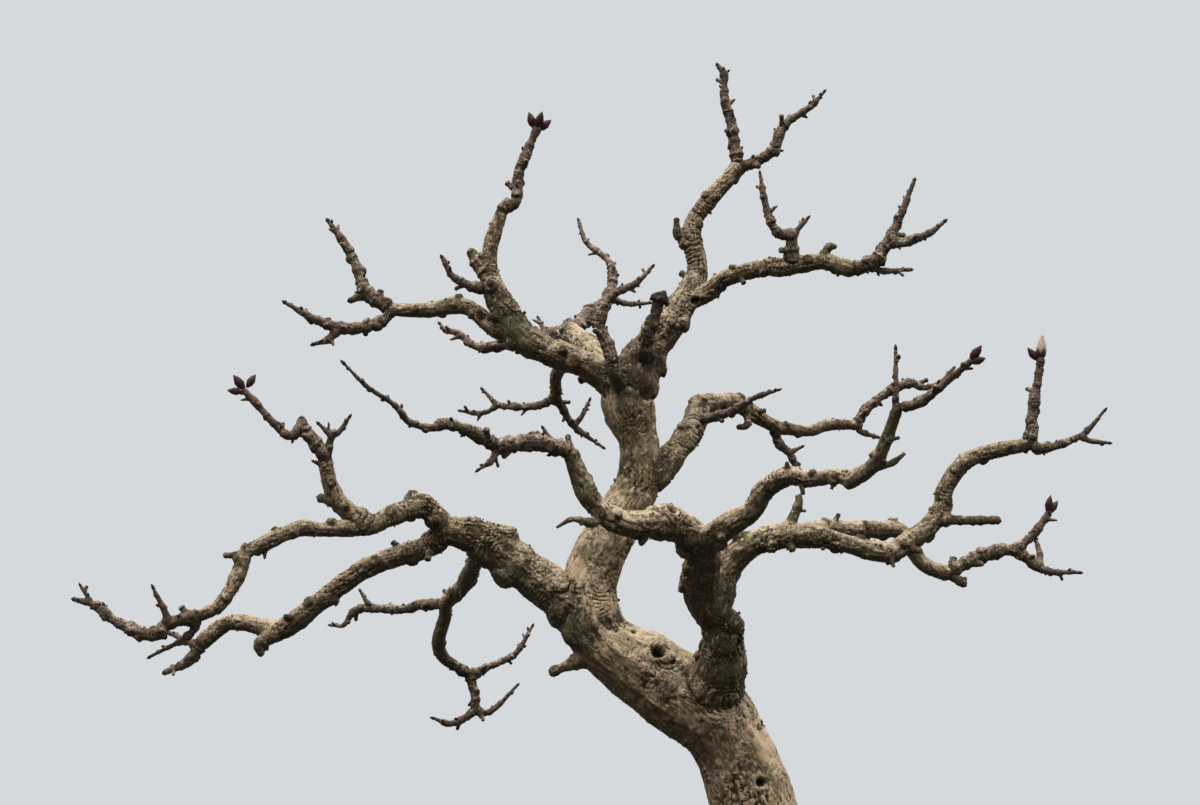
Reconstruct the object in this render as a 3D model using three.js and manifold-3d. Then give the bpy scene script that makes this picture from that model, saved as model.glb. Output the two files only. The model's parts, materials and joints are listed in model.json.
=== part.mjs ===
// A bare winter tree of bonsai size: a leaning trunk that forks into gnarled boughs, and leafless twigs.
// Millimetres, +Z up. The origin is the centre of the flat cut under the trunk, at ground level.
import * as THREE from "three";
import { mergeVertices } from "three/addons/utils/BufferGeometryUtils.js";
import Module from "manifold-3d";

const wasm = await Module();
wasm.setup();

// Driving dimensions
const CLEARANCE = 0.3; // left between a limb and the one that carries it
const SIDES = { trunk: 16, bough: 6, twigs: 4, dead: 6 };
const SPUR_SIDES = 3;
const BUD_SIDES = 4;
const RING_SPACING = { trunk: 0.3, bough: 1.5, twigs: 1.5, dead: 1.5 }; // in thicknesses
const LEAST_RING_SPACING = 9;
const TIP_ROUNDING = 0.87; // how far a rounded end stands out, in radii
const TIP_SHARE = 0.5; // its width there, as a share of the limb's own

// The root flare: ridges that run out from the trunk's foot, fading upwards
const FOOT_DEPTH = 10; // the trunk is grown from this far below the ground, and cut there
const FLARE_HEIGHT = 20;
const FLARE_OUT = 0.36;
const FLARE_RIDGES = 5;
const RIDGE_SHARE = 0.45;
const RIDGE_SCATTER = 0.5; // how far a ridge may stand off its even place, in ridge spacings
const GROUND_CUT = { side: 400, depth: 100 }; // the block that is cut away below the ground

// Broad swellings and hollows of the trunk: [growth step, degrees round the trunk from the side that
// faces the viewer, width, height]
const TRUNK_SWELLINGS = [
  [7.4, 30, 11, 1.6],
  [6.5, -60, 13, 1.4],
  [6, 10, 12, 1.2],
  [8.6, -50, 12, 1.2],
  [8.1, 5, 10, -1],
  [4.4, -15, 13, -1.3],
  [4.5, 45, 13, 1.2],
  [3.6, -70, 14, 1.4],
  [2.9, 15, 14, 1.2],
  [2.6, -45, 12, -1.2],
  [9.4, 40, 9, 1],
  [10.6, -30, 10, 0.9],
  [11.6, 50, 9, -0.8],
  [7.6, 150, 14, 1.5],
  [6, 130, 12, -1.3],
  [5, 180, 14, 1.4],
  [3.6, 130, 14, -1.3],
  [3, -120, 15, 1.4],
  [6.6, -130, 13, 1.3],
  [8.4, -150, 12, -1.1],
  [10.2, 160, 11, 1],
  [12, -140, 9, 0.9],
];
const VIEWER = [0, -1, 0]; // the way towards the photograph's viewer

// The seeded rule for spurs, the short blunt shoots that stand along every limb
const SPUR_TURN = 137.5; // degrees round the limb from one spur to the next
const SPUR_TURN_SCATTER = [-20, 20];
const SPUR_PLACE = [0.25, 0.75]; // where in its own stretch of the limb a spur may stand
const SPUR_LEAN = [48, 74]; // degrees off the limb's own direction
const SPUR_SPACING = { bough: 30, twigs: 17 };
const SPUR_LENGTH = { bough: [2.5, 4.5], twigs: [2, 4.6] };
const SPUR_THICKNESS = { bough: 0.26, twigs: 0.44 }; // share of the limb's own
const LEAST_SPUR_THICKNESS = 1.3;
const SPUR_TAPER = [1.3, 0.6]; // a spur's thickness at its root and its tip, in thicknesses
const SPUR_ROOM = 3; // a spur that would come nearer to another limb is skipped
const PLACES_PER_STEP = 4; // how finely the limbs are sampled for that

const BUD_PROFILE = [0.45, 0.95, 0.9, 0.5, 0.12]; // a bud's thickness along it, as shares of its widest

// The linear congruential rule behind every random share
const FIRST_SEED = 7;
const LETTER_STEP = 31;
const RANDOM_STEP = 1664525;
const RANDOM_SHIFT = 1013904223;
const RANDOM_RANGE = 2 ** 32;

const BARK = { trunk: 0x7b6e5c, bough: 0x75695a, twigs: 0x5d4c43, dead: 0x2e2a27 };
const ROUGHNESS = 0.92;

// Each limb names what carries it, where it leaves it, counted in that limb's growth steps, and its
// thickness there. A growth step is [length, heading, lean, thickness at its end]. Heading is degrees
// from +X, up towards +Z, and lean is degrees towards +Y. Forks are fused to their limb. Buds stand
// on the end of a twig as [heading, lean, length, thickness].
const LIMBS = {
  trunk: {
    kind: "trunk",
    thick: 61,
    roundEnd: true,
    growth: [
      [10, 94, 0, 60],
      [68, 95, 0, 51],
      [38, 101, 0, 47],
      [37, 102, 0, 43],
      [33, 111, 0, 38.5],
      [14, 122, 0, 41.5],
      [22, 147, 0, 41],
      [42, 145, 0, 32],
      [16, 118, 0, 32],
      [18, 87, 0, 28],
      [25, 65, 0, 26],
      [28, 62, 0, 23],
      [20, 90, 0, 21],
      [22, 108, 0, 25],
      [11, 81, 0, 23],
    ],
    forks: [{ at: 7.9, thick: 9, growth: [[18, -154, -8, 7], [12, -157, -6, 5]] }],
  },

  // Lower left boughs
  bough_left: {
    kind: "bough",
    on: "trunk",
    at: 8.35,
    thick: 23,
    growth: [[21, 135, 0, 21.5], [48, 145, -10, 21.6], [8.5, 148, -11, 18.4], [15, 171, -8, 13]],
  },
  bough_left_upper: {
    kind: "bough",
    on: "bough_left",
    at: 3.95,
    thick: 11.8,
    growth: [
      [13, 127, -23, 11],
      [6.5, 176, -28, 10.7],
      [16, -159, -22, 9.7],
      [7, -148, -16, 8.8],
      [29, -171, -24, 7.4],
      [8, 178, -31, 7.7],
      [31, -153, -25, 7.2],
    ],
    forks: [{ at: 1.1, thick: 9, growth: [[8, 152, -10, 8], [3, 118, 0, 6.5]] }],
  },
  bough_left_outer: {
    kind: "bough",
    on: "bough_left_upper",
    at: 7,
    thick: 7.6,
    growth: [[11.5, -107, -5, 7.5], [17, -118, -10, 6.6], [9, -149, -7, 6.5]],
    forks: [{ at: 0.2, thick: 4, growth: [[9, 178, -5, 2.6]] }],
  },
  bough_left_lower: {
    kind: "bough",
    on: "bough_left",
    at: 4,
    thick: 11.8,
    growth: [
      [6, -120, 21, 11.8],
      [8.5, -154, 13, 11],
      [30, -162, 11, 10],
      [52, -145, 11, 10],
      [5.5, -175, 15, 9],
    ],
    forks: [{ at: 4.47, thick: 7, growth: [[11.5, -138, -7, 6], [4.5, -79, 1, 3.4]] }],
  },
  bough_left_low_end: {
    kind: "bough",
    on: "bough_left_lower",
    at: 5,
    thick: 8.9,
    growth: [[17, 166, 7, 8.4], [7.5, -174, 7, 8], [15, -142, 4, 7.8]],
  },
  bough_rising: {
    kind: "bough",
    on: "bough_left_upper",
    at: 4.2,
    thick: 9.7,
    growth: [[18, 139, -15, 8.2], [13, 113, -17, 7.2], [7.5, 97, -17, 7.2]],
    forks: [{ at: 1.02, thick: 5.4, growth: [[9, 172, -6, 4.3]] }],
  },
  bough_under: {
    kind: "bough",
    on: "bough_left",
    at: 2.2,
    thick: 8,
    growth: [[35, -137, 76, 7.8], [16, -126, 70, 8.6], [17, -133, 64, 8.8], [24, -144, 60, 8.2]],
  },
  bough_hanging: {
    kind: "bough",
    on: "bough_under",
    at: 4,
    thick: 7.3,
    growth: [[8.5, -95, 45, 6.9], [19, -107, 40, 6.8], [8.5, -70, 41, 6.4], [9, -37, 28, 5.9]],
  },

  // Boughs that come forward from the trunk's bend
  bough_front: {
    kind: "bough",
    on: "trunk",
    at: 6.3,
    thick: 23,
    growth: [
      [30, 66, -48, 21.5],
      [13, 86, -36, 20.4],
      [11, 98, -33, 18.6],
      [20, 126, -37, 18.2],
      [29, 92, -49, 15.8],
    ],
  },
  bough_front_left: {
    kind: "bough",
    on: "bough_front",
    at: 4.93,
    thick: 15.8,
    growth: [
      [15, 132, -39, 15.8],
      [11.5, 163, -39, 15],
      [25, -175, -37, 11.2],
      [8.5, 160, -30, 10.8],
      [13, 140, -20, 9.8],
      [22, 113, -15, 7.8],
    ],
    forks: [
      { at: 5.98, thick: 4.2, growth: [[8.5, 103, -2, 2.8]] },
      { at: 4.5, thick: 4.2, growth: [[8, -113, -29, 3.6], [11.5, 176, -32, 2.8], [8, -150, -14, 1.6]] },
    ],
  },
  bough_front_right: {
    kind: "bough",
    on: "bough_front",
    at: 4.85,
    thick: 14,
    growth: [
      [13, 72, -58, 12.9],
      [31, 31, -39, 9.8],
      [6.5, 68, -26, 10],
      [10.5, 37, -28, 9.3],
      [8.5, 14, -37, 8.8],
      [8, -21, -30, 7],
      [15, 3, -32, 6.9],
      [7.5, -21, -31, 7.5],
    ],
  },
  bough_front_right_outer: {
    kind: "bough",
    on: "bough_front_right",
    at: 8,
    thick: 7.6,
    growth: [[13, 34, -33, 6.7], [29, 68, -32, 5]],
    forks: [{ at: 0.9, thick: 3.4, growth: [[8, 4, -20, 2.8], [8, 35, -10, 1.8]] }],
  },
  bough_right_low: {
    kind: "bough",
    on: "bough_front",
    at: 3.58,
    thick: 14.6,
    growth: [
      [24, 65, -7, 13.2],
      [16, 35, -15, 12.6],
      [21, 9, 0, 11.8],
      [20, -11, 0, 8.8],
      [17, -14, 7, 9.3],
      [7.5, 1, 15, 9.6],
    ],
    forks: [
      { at: 2.63, thick: 5.8, growth: [[18, 68, 0, 3.8], [2.5, 97, 0, 2.6]] },
      { at: 5.6, thick: 3.4, growth: [[8, -68, -20, 1.8]] },
    ],
  },
  bough_right_outer: {
    kind: "bough",
    on: "bough_right_low",
    at: 6,
    thick: 9.8,
    growth: [
      [21, 35, 5, 10.3],
      [12, 53, -4, 8.7],
      [6.5, 87, -9, 8.2],
      [6.5, 63, -9, 8.2],
      [14, 49, -8, 8.4],
      [29, 14, -8, 6.8],
    ],
    forks: [{ at: 1.42, thick: 5.4, growth: [[12, -4, -15, 4], [18, -2, -15, 3.9]] }],
  },
  bough_right_behind: {
    kind: "bough",
    on: "bough_right_low",
    at: 3.17,
    thick: 8.6,
    growth: [
      [14, 43, 59, 8.2],
      [33, 8, 53, 8],
      [15, 6, 42, 8.8],
      [16, 0, 29, 8.8],
      [18, -54, 12, 8],
      [7.5, -34, 8, 7.6],
      [8, -14, 8, 7.8],
    ],
    forks: [{ at: 6.9, thick: 5, growth: [[10.5, -32, 0, 4]] }],
  },

  // The bough on the right of the leader, which turns back at its knee
  bough_right: {
    kind: "bough",
    on: "trunk",
    at: 12.05,
    thick: 15,
    growth: [[8.5, 24, 14, 14], [32, 51, 18, 12.4], [21, 74, 41, 12.2]],
  },
  bough_right_back: {
    kind: "bough",
    on: "bough_right",
    at: 3,
    thick: 10.2,
    growth: [
      [32, 19, 56, 9.4],
      [10, -6, 50, 9.4],
      [27, -22, 42, 7.5],
      [12, -3, 43, 6.1],
      [13, 0, 28, 6],
      [13, 21, 26, 6.3],
      [16, 4, 23, 5.1],
    ],
    forks: [{ at: 2.18, thick: 3.8, growth: [[11, -89, -28, 3.6], [5.5, -165, -22, 2.4]] }],
  },

  // Upper boughs
  bough_top_left: {
    kind: "bough",
    on: "trunk",
    at: 14.62,
    thick: 15,
    growth: [[22, 153, -10, 13.6], [30, 159, -6, 14.5], [9.5, 138, -6, 15], [19, 122, 0, 13.6]],
  },
  bough_top_left_outer: {
    kind: "bough",
    on: "bough_top_left",
    at: 4,
    thick: 13,
    growth: [[15, 110, 0, 9.6], [17, 83, 0, 7.2], [13, 72, -5, 7]],
    forks: [{ at: 0.9, thick: 7, growth: [[8, 132, 0, 6.4], [7, 122, 0, 4.6]] }],
  },
  bough_top_left_side: {
    kind: "bough",
    on: "bough_top_left",
    at: 3.1,
    thick: 9,
    growth: [
      [11, 172, 15, 9],
      [19, 142, 19, 8.3],
      [8, 169, 14, 8.9],
      [10.5, -171, 11, 7.7],
      [22, 178, 10, 7.2],
    ],
  },
  bough_top_right: {
    kind: "bough",
    on: "trunk",
    at: 14.5,
    thick: 20,
    growth: [[27, 59, 4, 18.4], [33, 56, 11, 14.4]],
  },
  bough_top_right_upper: {
    kind: "bough",
    on: "bough_top_right",
    at: 1.97,
    thick: 13.2,
    growth: [[14, 69, 0, 10.2], [19, 99, 0, 10.6], [8, 79, 0, 9.3], [36, 51, 0, 7.8]],
    forks: [{ at: 1.94, thick: 5.4, growth: [[6.5, 176, 0, 4.6], [9, 96, 0, 2.8]] }],
  },
  bough_top_right_side: {
    kind: "bough",
    on: "bough_top_right",
    at: 1.87,
    thick: 10.1,
    growth: [
      [14, 19, -14, 9.2],
      [9.5, 38, -18, 9],
      [24, 12, -19, 9],
      [6, -7, -11, 9.9],
      [22, 6, -8, 8.2],
      [14, -18, -8, 8.4],
    ],
    forks: [{ at: 4.92, thick: 4.6, growth: [[8.5, 61, -1, 4], [3, 10, 0, 2.8]] }],
  },
  dead_stub: {
    kind: "dead",
    on: "bough_top_right",
    at: 0.79,
    thick: 7.6,
    roundEnd: true,
    growth: [[14, -120, -78, 7], [10, 80, -33, 6.8], [12, 72, -5, 6], [8, 75, 0, 7]],
  },
  bough_back: {
    kind: "bough",
    on: "trunk",
    at: 14.57,
    thick: 14,
    growth: [[29, 123, 55, 13.3], [44, 122, 56, 12.7], [22, 133, 53, 11.6]],
  },
  bough_back_low: {
    kind: "bough",
    on: "bough_back",
    at: 1.5,
    thick: 8.3,
    growth: [[44, 177, 65, 7], [14, -129, 68, 6.4], [10.5, -86, 61, 6], [7, -125, 56, 6]],
  },

  // Twigs at the left
  twigs_far_left: {
    kind: "twigs",
    on: "bough_left_outer",
    at: 3,
    thick: 6.5,
    growth: [
      [17, -164, -7, 5.7],
      [5.5, -134, -9, 6.4],
      [5, -172, -13, 6],
      [15, 158, 0, 4.7],
      [15, 145, 0, 3.7],
      [7, 166, 1, 2.2],
    ],
    forks: [
      { at: 4.97, thick: 2, growth: [[9, 123, -6, 1.3]] },
      { at: 0.97, thick: 3.8, growth: [[3.5, 85, -35, 3.3], [14, 114, -17, 1.6]] },
      { at: 0.15, thick: 4.2, growth: [[8, -108, 17, 3.3], [22, -151, 10, 1.6]] },
    ],
  },
  twigs_low_left: {
    kind: "twigs",
    on: "bough_left_low_end",
    at: 3,
    thick: 7,
    growth: [[11, -125, 0, 5.2], [12, -152, -10, 2.6]],
    forks: [{ at: 0.2, thick: 4, growth: [[17, 156, 7, 2]] }],
  },
  twigs_rising_right: {
    kind: "twigs",
    on: "bough_rising",
    at: 2.55,
    thick: 4.4,
    growth: [[15.5, 80, -12, 3.5], [4.5, 35, 0, 2.6], [7, 55, -8, 1.6]],
    forks: [{ at: 1.04, thick: 3, growth: [[8, 138, -7, 1.8]] }],
  },
  twigs_rising: {
    kind: "twigs",
    on: "bough_rising",
    at: 3,
    thick: 7,
    growth: [[5.5, 112, -11, 6.7], [14, 136, -17, 5.8], [6, -149, -17, 3.9], [31, 136, -10, 2.8]],
    forks: [{ at: 1.94, thick: 4.8, growth: [[4, 94, -1, 3.8]] }],
    buds: [[127, -10, 9, 4.4], [176, -20, 7.5, 3.6], [60, 10, 8, 3.8]],
  },
  twigs_under_left: {
    kind: "twigs",
    on: "bough_under",
    at: 4,
    thick: 6.2,
    growth: [
      [17, 179, 35, 5.3],
      [9.5, -168, 26, 4.3],
      [28, 177, 26, 3.9],
      [5, -154, 20, 3.6],
      [8.5, -128, 14, 2.3],
      [6.5, 177, 18, 1.6],
    ],
    forks: [{ at: 2.63, thick: 3.2, growth: [[4.5, 144, 4, 2.7], [7, 123, 8, 1.6]] }],
  },
  twigs_hanging: {
    kind: "twigs",
    on: "bough_hanging",
    at: 4,
    thick: 5.9,
    growth: [[9.5, -24, 25, 5.4], [12, 21, 19, 3.5], [16, 29, 15, 3.1], [16, 59, 7, 1.5]],
    forks: [
      {
        at: 1,
        thick: 4.4,
        growth: [[19, -83, 0, 4.2], [15, -148, -8, 3.2], [8, 163, -7, 1.7]],
        forks: [{ at: 0.98, thick: 4.2, growth: [[5.5, -28, 10, 3.7], [6, 22, 10, 2.8], [17, 46, 7, 1.5]] }],
      },
    ],
  },

  // Twigs at the front
  twigs_front_left: {
    kind: "twigs",
    on: "bough_front_left",
    at: 6,
    thick: 6.8,
    growth: [
      [6.5, 157, -21, 6.7],
      [15, 174, -31, 7.2],
      [15, -170, -24, 6.2],
      [16, 158, -30, 4.8],
      [13, 170, -33, 5],
      [5, -153, -23, 3.3],
      [7, 177, -25, 3],
      [5.5, 163, -35, 2.7],
      [10, 132, -29, 2.3],
      [16, 149, -31, 1.8],
      [12, 136, -18, 1.2],
    ],
    forks: [
      { at: 3, thick: 3.2, growth: [[8.5, -115, -14, 2.4], [5.5, -143, -11, 1.4]] },
      { at: 1.15, thick: 2.8, growth: [[9, 124, -11, 1.4]] },
    ],
  },
  twigs_front_right: {
    kind: "twigs",
    on: "bough_front_right_outer",
    at: 2,
    thick: 4.8,
    growth: [[7, 4, -25, 4], [7.5, 27, -23, 3.6], [25, 38, -31, 2.8]],
    buds: [[52, -22, 8.5, 4], [14, -30, 7, 3.4]],
  },
  twigs_front_right_up: {
    kind: "twigs",
    on: "bough_front_right_outer",
    at: 1.8,
    thick: 3.2,
    growth: [[9, 84, -17, 2.7], [21, 89, 0, 1.5]],
  },
  twigs_right_front: {
    kind: "twigs",
    on: "bough_right",
    at: 2.63,
    thick: 5.1,
    growth: [[12, -54, -62, 4.9], [20, 8, -44, 4], [14, 26, -37, 2.6], [11, 15, -20, 1.4]],
  },

  // Twigs at the right
  twigs_right_end: {
    kind: "twigs",
    on: "bough_right_outer",
    at: 6,
    thick: 5.8,
    growth: [[7.5, -18, -8, 4.4], [20, 19, -8, 2.9], [14, 47, -5, 1.5]],
    forks: [{ at: 1.94, thick: 2.9, growth: [[4, -39, -4, 2.6], [9, -7, 0, 1.5]] }],
  },
  twigs_right_up: {
    kind: "twigs",
    on: "bough_right_outer",
    at: 5.97,
    thick: 6.4,
    growth: [[6.5, 62, 0, 6.2], [9, 86, -2, 4.7], [26, 80, -2, 3.4]],
    buds: [[128, -6, 8, 3.6], [84, 0, 12, 5.6]],
  },
  twigs_right_behind: {
    kind: "twigs",
    on: "bough_right_behind",
    at: 7,
    thick: 7,
    growth: [
      [18, 28, 6, 6.6],
      [15, 13, 0, 6.2],
      [4.5, -7, 1, 5.4],
      [17, -34, 0, 4],
      [16, -4, 0, 1.8],
    ],
    forks: [
      {
        at: 2.84,
        thick: 4.6,
        growth: [[14, 41, 0, 3.9], [12, 54, 0, 3.4]],
        buds: [[78, -8, 9, 3.8], [52, 12, 9, 3.8]],
      },
      { at: 3.79, thick: 3.5, growth: [[8.5, 68, 45, 3], [12, 96, 30, 1.9]] },
    ],
  },
  twigs_right_back: {
    kind: "twigs",
    on: "bough_right_back",
    at: 7,
    thick: 4.9,
    growth: [
      [15, 52, 15, 4.8],
      [15, 37, 12, 4.9],
      [13, 21, 9, 5.1],
      [7.5, -21, -1, 3],
      [9, 19, 7, 2.7],
      [10.5, 46, 5, 1.7],
    ],
    forks: [{ at: 0.16, thick: 3.8, growth: [[5, -74, 4, 3.3], [10.5, -19, 5, 1.7]] }],
  },
  twigs_right_down: {
    kind: "twigs",
    on: "bough_right_back",
    at: 3.01,
    thick: 4.8,
    growth: [[10, -72, 23, 4.3], [7.5, -43, 15, 3.8], [8, -64, 8, 3.6]],
    forks: [{ at: 2, thick: 2.6, growth: [[7, 24, -12, 1.5]] }],
  },

  // Twigs at the top
  twigs_top_left: {
    kind: "twigs",
    on: "bough_top_left_outer",
    at: 3,
    thick: 6.6,
    growth: [[5, 59, 1, 6.1], [5, 24, 0, 5.7], [15, 83, 0, 5.1], [25, 69, 0, 3.7]],
    buds: [[108, -6, 9, 4.4], [70, -22, 9.5, 4.4], [42, 8, 9, 4.2]],
  },
  twigs_top_left_spur: {
    kind: "twigs",
    on: "bough_top_left_outer",
    at: 0.43,
    thick: 5,
    growth: [[7.5, -179, -8, 4.6], [13, 159, -9, 3.6], [10.5, 121, -5, 2]],
  },
  twigs_side_up: {
    kind: "twigs",
    on: "bough_top_left_side",
    at: 5,
    thick: 7.1,
    growth: [[15, 144, 4, 6.5], [17, 113, 4, 5.2], [14, 119, 4, 4], [12, 126, 0, 2.2]],
    forks: [{ at: 0.99, thick: 4.2, growth: [[8, -156, -6, 3.2]] }],
  },
  twigs_side_down: {
    kind: "twigs",
    on: "bough_top_left_side",
    at: 4.96,
    thick: 5.7,
    growth: [[8, -129, -12, 5.7], [18, -164, -13, 5.9], [16, 167, -11, 4.6], [17, 152, -10, 2.1]],
    forks: [{ at: 2.27, thick: 4.1, growth: [[9, -132, -7, 3.5], [6, -160, -10, 2.1]] }],
  },
  twigs_top: {
    kind: "twigs",
    on: "bough_top_right_upper",
    at: 4,
    thick: 6.2,
    growth: [[24, 98, 0, 5.2], [15, 103, 0, 3.9], [11.5, 90, 0, 3.2], [4.5, 124, 1, 2.1]],
  },
  twigs_top_right: {
    kind: "twigs",
    on: "bough_top_right_upper",
    at: 3.97,
    thick: 5.7,
    growth: [
      [14, 22, -4, 5.1],
      [9, 41, -6, 6],
      [8.5, 72, 0, 4.6],
      [6.5, 52, 0, 4.2],
      [15, 35, 0, 3.1],
      [9, 48, -7, 1.5],
    ],
  },
  twigs_side_right: {
    kind: "twigs",
    on: "bough_top_right_side",
    at: 6,
    thick: 7.5,
    growth: [[12, 17, -10, 6.6], [10.5, 55, -5, 6], [13, 62, -2, 4.1], [22, 68, -2, 2]],
    forks: [
      {
        at: 2.15,
        thick: 4.6,
        growth: [[7, -9, -7, 4.4], [7.5, 18, -7, 4], [8, 22, 0, 3.5], [7.5, 39, 0, 2]],
      },
      { at: 0.75, thick: 3.6, growth: [[6, -28, 15, 3], [15, 3, 8, 1.8]] },
    ],
  },
  twigs_side_middle: {
    kind: "twigs",
    on: "bough_top_right_side",
    at: 4.31,
    thick: 6.6,
    growth: [
      [11, 95, -27, 6.1],
      [5, 91, -12, 6],
      [4.5, -176, -12, 5],
      [7, 137, -9, 4.5],
      [16, 106, -3, 3.1],
      [10, 98, -1, 1.5],
    ],
    forks: [{ at: 1.78, thick: 3.6, growth: [[10.5, 48, -7, 1.6]] }],
  },
  twigs_fork: {
    kind: "twigs",
    on: "trunk",
    at: 14.45,
    thick: 7,
    growth: [
      [20, 138, -67, 6.8],
      [11, 103, -8, 5.9],
      [15, 107, 0, 4.6],
      [14, 69, 0, 4],
      [15, 29, 0, 3],
      [10, 47, 0, 1.6],
    ],
    forks: [{ at: 2.84, thick: 3, growth: [[5, 159, -12, 2]] }],
  },

  // Twigs at the back
  twigs_back_top: {
    kind: "twigs",
    on: "bough_back",
    at: 2.87,
    thick: 8.6,
    growth: [
      [13, 52, 52, 7.8],
      [12, 54, 42, 8.5],
      [12, 39, 41, 7.7],
      [10.5, 60, 38, 7],
      [10.5, 76, 33, 5.6],
      [11.5, 90, 32, 4.4],
      [8, 107, 29, 3.4],
      [20, 134, 23, 2.8],
      [13, 107, 19, 1.7],
    ],
    forks: [{ at: 4.06, thick: 3.4, growth: [[11.5, -14, 17, 2.8], [15, 6, 16, 1.7]] }],
  },
  twigs_back_left: {
    kind: "twigs",
    on: "bough_back",
    at: 3,
    thick: 7.2,
    growth: [
      [21, 170, 60, 7.1],
      [20, 178, 55, 6.6],
      [27, 179, 42, 5.7],
      [9, 179, 23, 4],
      [17, 143, 18, 3.8],
      [6.5, 166, 16, 2.8],
      [4, 128, 14, 1.8],
    ],
    forks: [{ at: 1.07, thick: 3.3, growth: [[10.5, 114, 16, 1.7]] }],
  },
  twigs_back_low_left: {
    kind: "twigs",
    on: "bough_back_low",
    at: 4,
    thick: 4.9,
    growth: [[9, -164, 27, 4], [25, 174, 26, 3.2], [12, 135, 15, 1.7]],
    forks: [
      { at: 2.02, thick: 2.9, growth: [[7, -147, 17, 2.8], [7.5, -176, 24, 2.6], [8.5, 168, 20, 1.7]] },
    ],
  },
  twigs_back_low_right: {
    kind: "twigs",
    on: "bough_back_low",
    at: 3.71,
    thick: 4.9,
    growth: [[6.5, -43, 37, 4.4], [14, -55, 26, 3.4], [19, -35, 15, 1.7]],
    forks: [{ at: 1.97, thick: 2.8, growth: [[5.5, 45, 0, 2.6], [10, 64, 0, 1.6]] }],
  },
};

// A repeatable run of random shares, seeded by a limb's name.
function seededRandom(name) {
  let seed = FIRST_SEED;
  for (const letter of name) seed = (Math.imul(seed, LETTER_STEP) + letter.charCodeAt(0)) >>> 0;
  return () => {
    seed = (Math.imul(seed, RANDOM_STEP) + RANDOM_SHIFT) >>> 0;
    return seed / RANDOM_RANGE;
  };
}

const between = ([low, high], share) => low + (high - low) * share;

function direction(heading, lean) {
  const h = THREE.MathUtils.degToRad(heading);
  const l = THREE.MathUtils.degToRad(lean);
  return new THREE.Vector3(Math.cos(h) * Math.cos(l), Math.sin(l), Math.sin(h) * Math.cos(l));
}

// A limb's own line: a smooth curve through the ends of its growth steps, and its thickness there.
function grow(start, limb) {
  const points = [start.clone()];
  const thick = [limb.thick];
  for (const [length, heading, lean, thickness] of limb.growth) {
    points.push(points.at(-1).clone().addScaledVector(direction(heading, lean), length));
    thick.push(thickness);
  }
  // One step alone is a straight line, which the curve needs a middle point for.
  if (points.length === 2) {
    points.splice(1, 0, points[0].clone().lerp(points[1], 0.5));
    thick.splice(1, 0, (thick[0] + thick[1]) / 2);
  }
  const curve = new THREE.CatmullRomCurve3(points, false, "centripetal");
  const count = points.length - 1;
  const scale = count / limb.growth.length;
  return {
    count,
    scale,
    curve,
    points,
    at: (step) => curve.getPoint(Math.min(1, (step * scale) / count)),
    tangentAt: (step) => curve.getTangent(Math.min(1, (step * scale) / count)),
    thickAt: (step) => {
      const place = Math.min(count, step * scale);
      const low = Math.min(count - 1, Math.floor(place));
      const share = THREE.MathUtils.smoothstep(place - low, 0, 1);
      return thick[low] + (thick[low + 1] - thick[low]) * share;
    },
  };
}

// A closed tube with rings of the given places, directions and radii: a cylinder bent along them.
function tube(rings, sides) {
  const cylinder = new THREE.CylinderGeometry(1, 1, 1, sides, rings.length - 1);
  cylinder.deleteAttribute("normal");
  cylinder.deleteAttribute("uv");
  const geometry = mergeVertices(cylinder);
  const side = new THREE.Vector3(0, 1, 0).cross(rings[0].tangent);
  if (side.lengthSq() < 0.01) side.set(1, 0, 0).cross(rings[0].tangent);
  side.normalize();
  const turn = new THREE.Quaternion();
  rings.forEach((ring, i) => {
    if (i) side.applyQuaternion(turn.setFromUnitVectors(rings[i - 1].tangent, ring.tangent));
    ring.side = side.clone();
    ring.other = new THREE.Vector3().crossVectors(side, ring.tangent);
  });
  const position = geometry.attributes.position;
  for (let i = 0; i < position.count; i++) {
    const ring = rings[Math.round((0.5 + position.getY(i)) * (rings.length - 1))];
    const x = position.getX(i);
    const z = position.getZ(i);
    const radius = ring.radius * (ring.swell ? ring.swell(Math.atan2(z, x)) : 1);
    const p = ring.point.clone().addScaledVector(ring.side, x * radius);
    p.addScaledVector(ring.other, z * radius);
    position.setXYZ(i, p.x, p.y, p.z);
  }
  return geometry;
}

function solidOf(geometry) {
  const vertProperties = geometry.attributes.position.array;
  const triVerts = new Uint32Array(geometry.index.array);
  return new wasm.Manifold(new wasm.Mesh({ numProp: 3, vertProperties, triVerts }));
}

// Rings along a grown line, fattened all over by extra, with its root and, if asked, its tip rounded.
function ringsAlong(line, kind, extra, roundEnd) {
  const rings = [];
  const ring = (step, back, share) => {
    const tangent = line.tangentAt(step);
    const radius = line.thickAt(step) / 2 + extra;
    const point = line.at(step).addScaledVector(tangent, back * radius);
    rings.push({ point, tangent, radius: radius * share });
  };
  const steps = line.count / line.scale;
  if (kind === "bough") ring(0, -TIP_ROUNDING, TIP_SHARE);
  ring(0, 0, 1);
  for (let i = 0; i < line.count; i++) {
    const length = line.points[i].distanceTo(line.points[i + 1]);
    const halfway = (i + 0.5) / line.scale;
    const spacing = Math.max(LEAST_RING_SPACING, RING_SPACING[kind] * line.thickAt(halfway));
    const parts = Math.max(1, Math.round(length / spacing));
    for (let k = 1; k <= parts; k++) ring((i + k / parts) / line.scale, 0, 1);
  }
  if (roundEnd) ring(steps, TIP_ROUNDING, TIP_SHARE);
  // A fattened limb also reaches past its flat end.
  if (extra && !roundEnd) {
    const end = rings.at(-1);
    end.point.addScaledVector(end.tangent, extra);
  }
  return rings;
}

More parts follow.
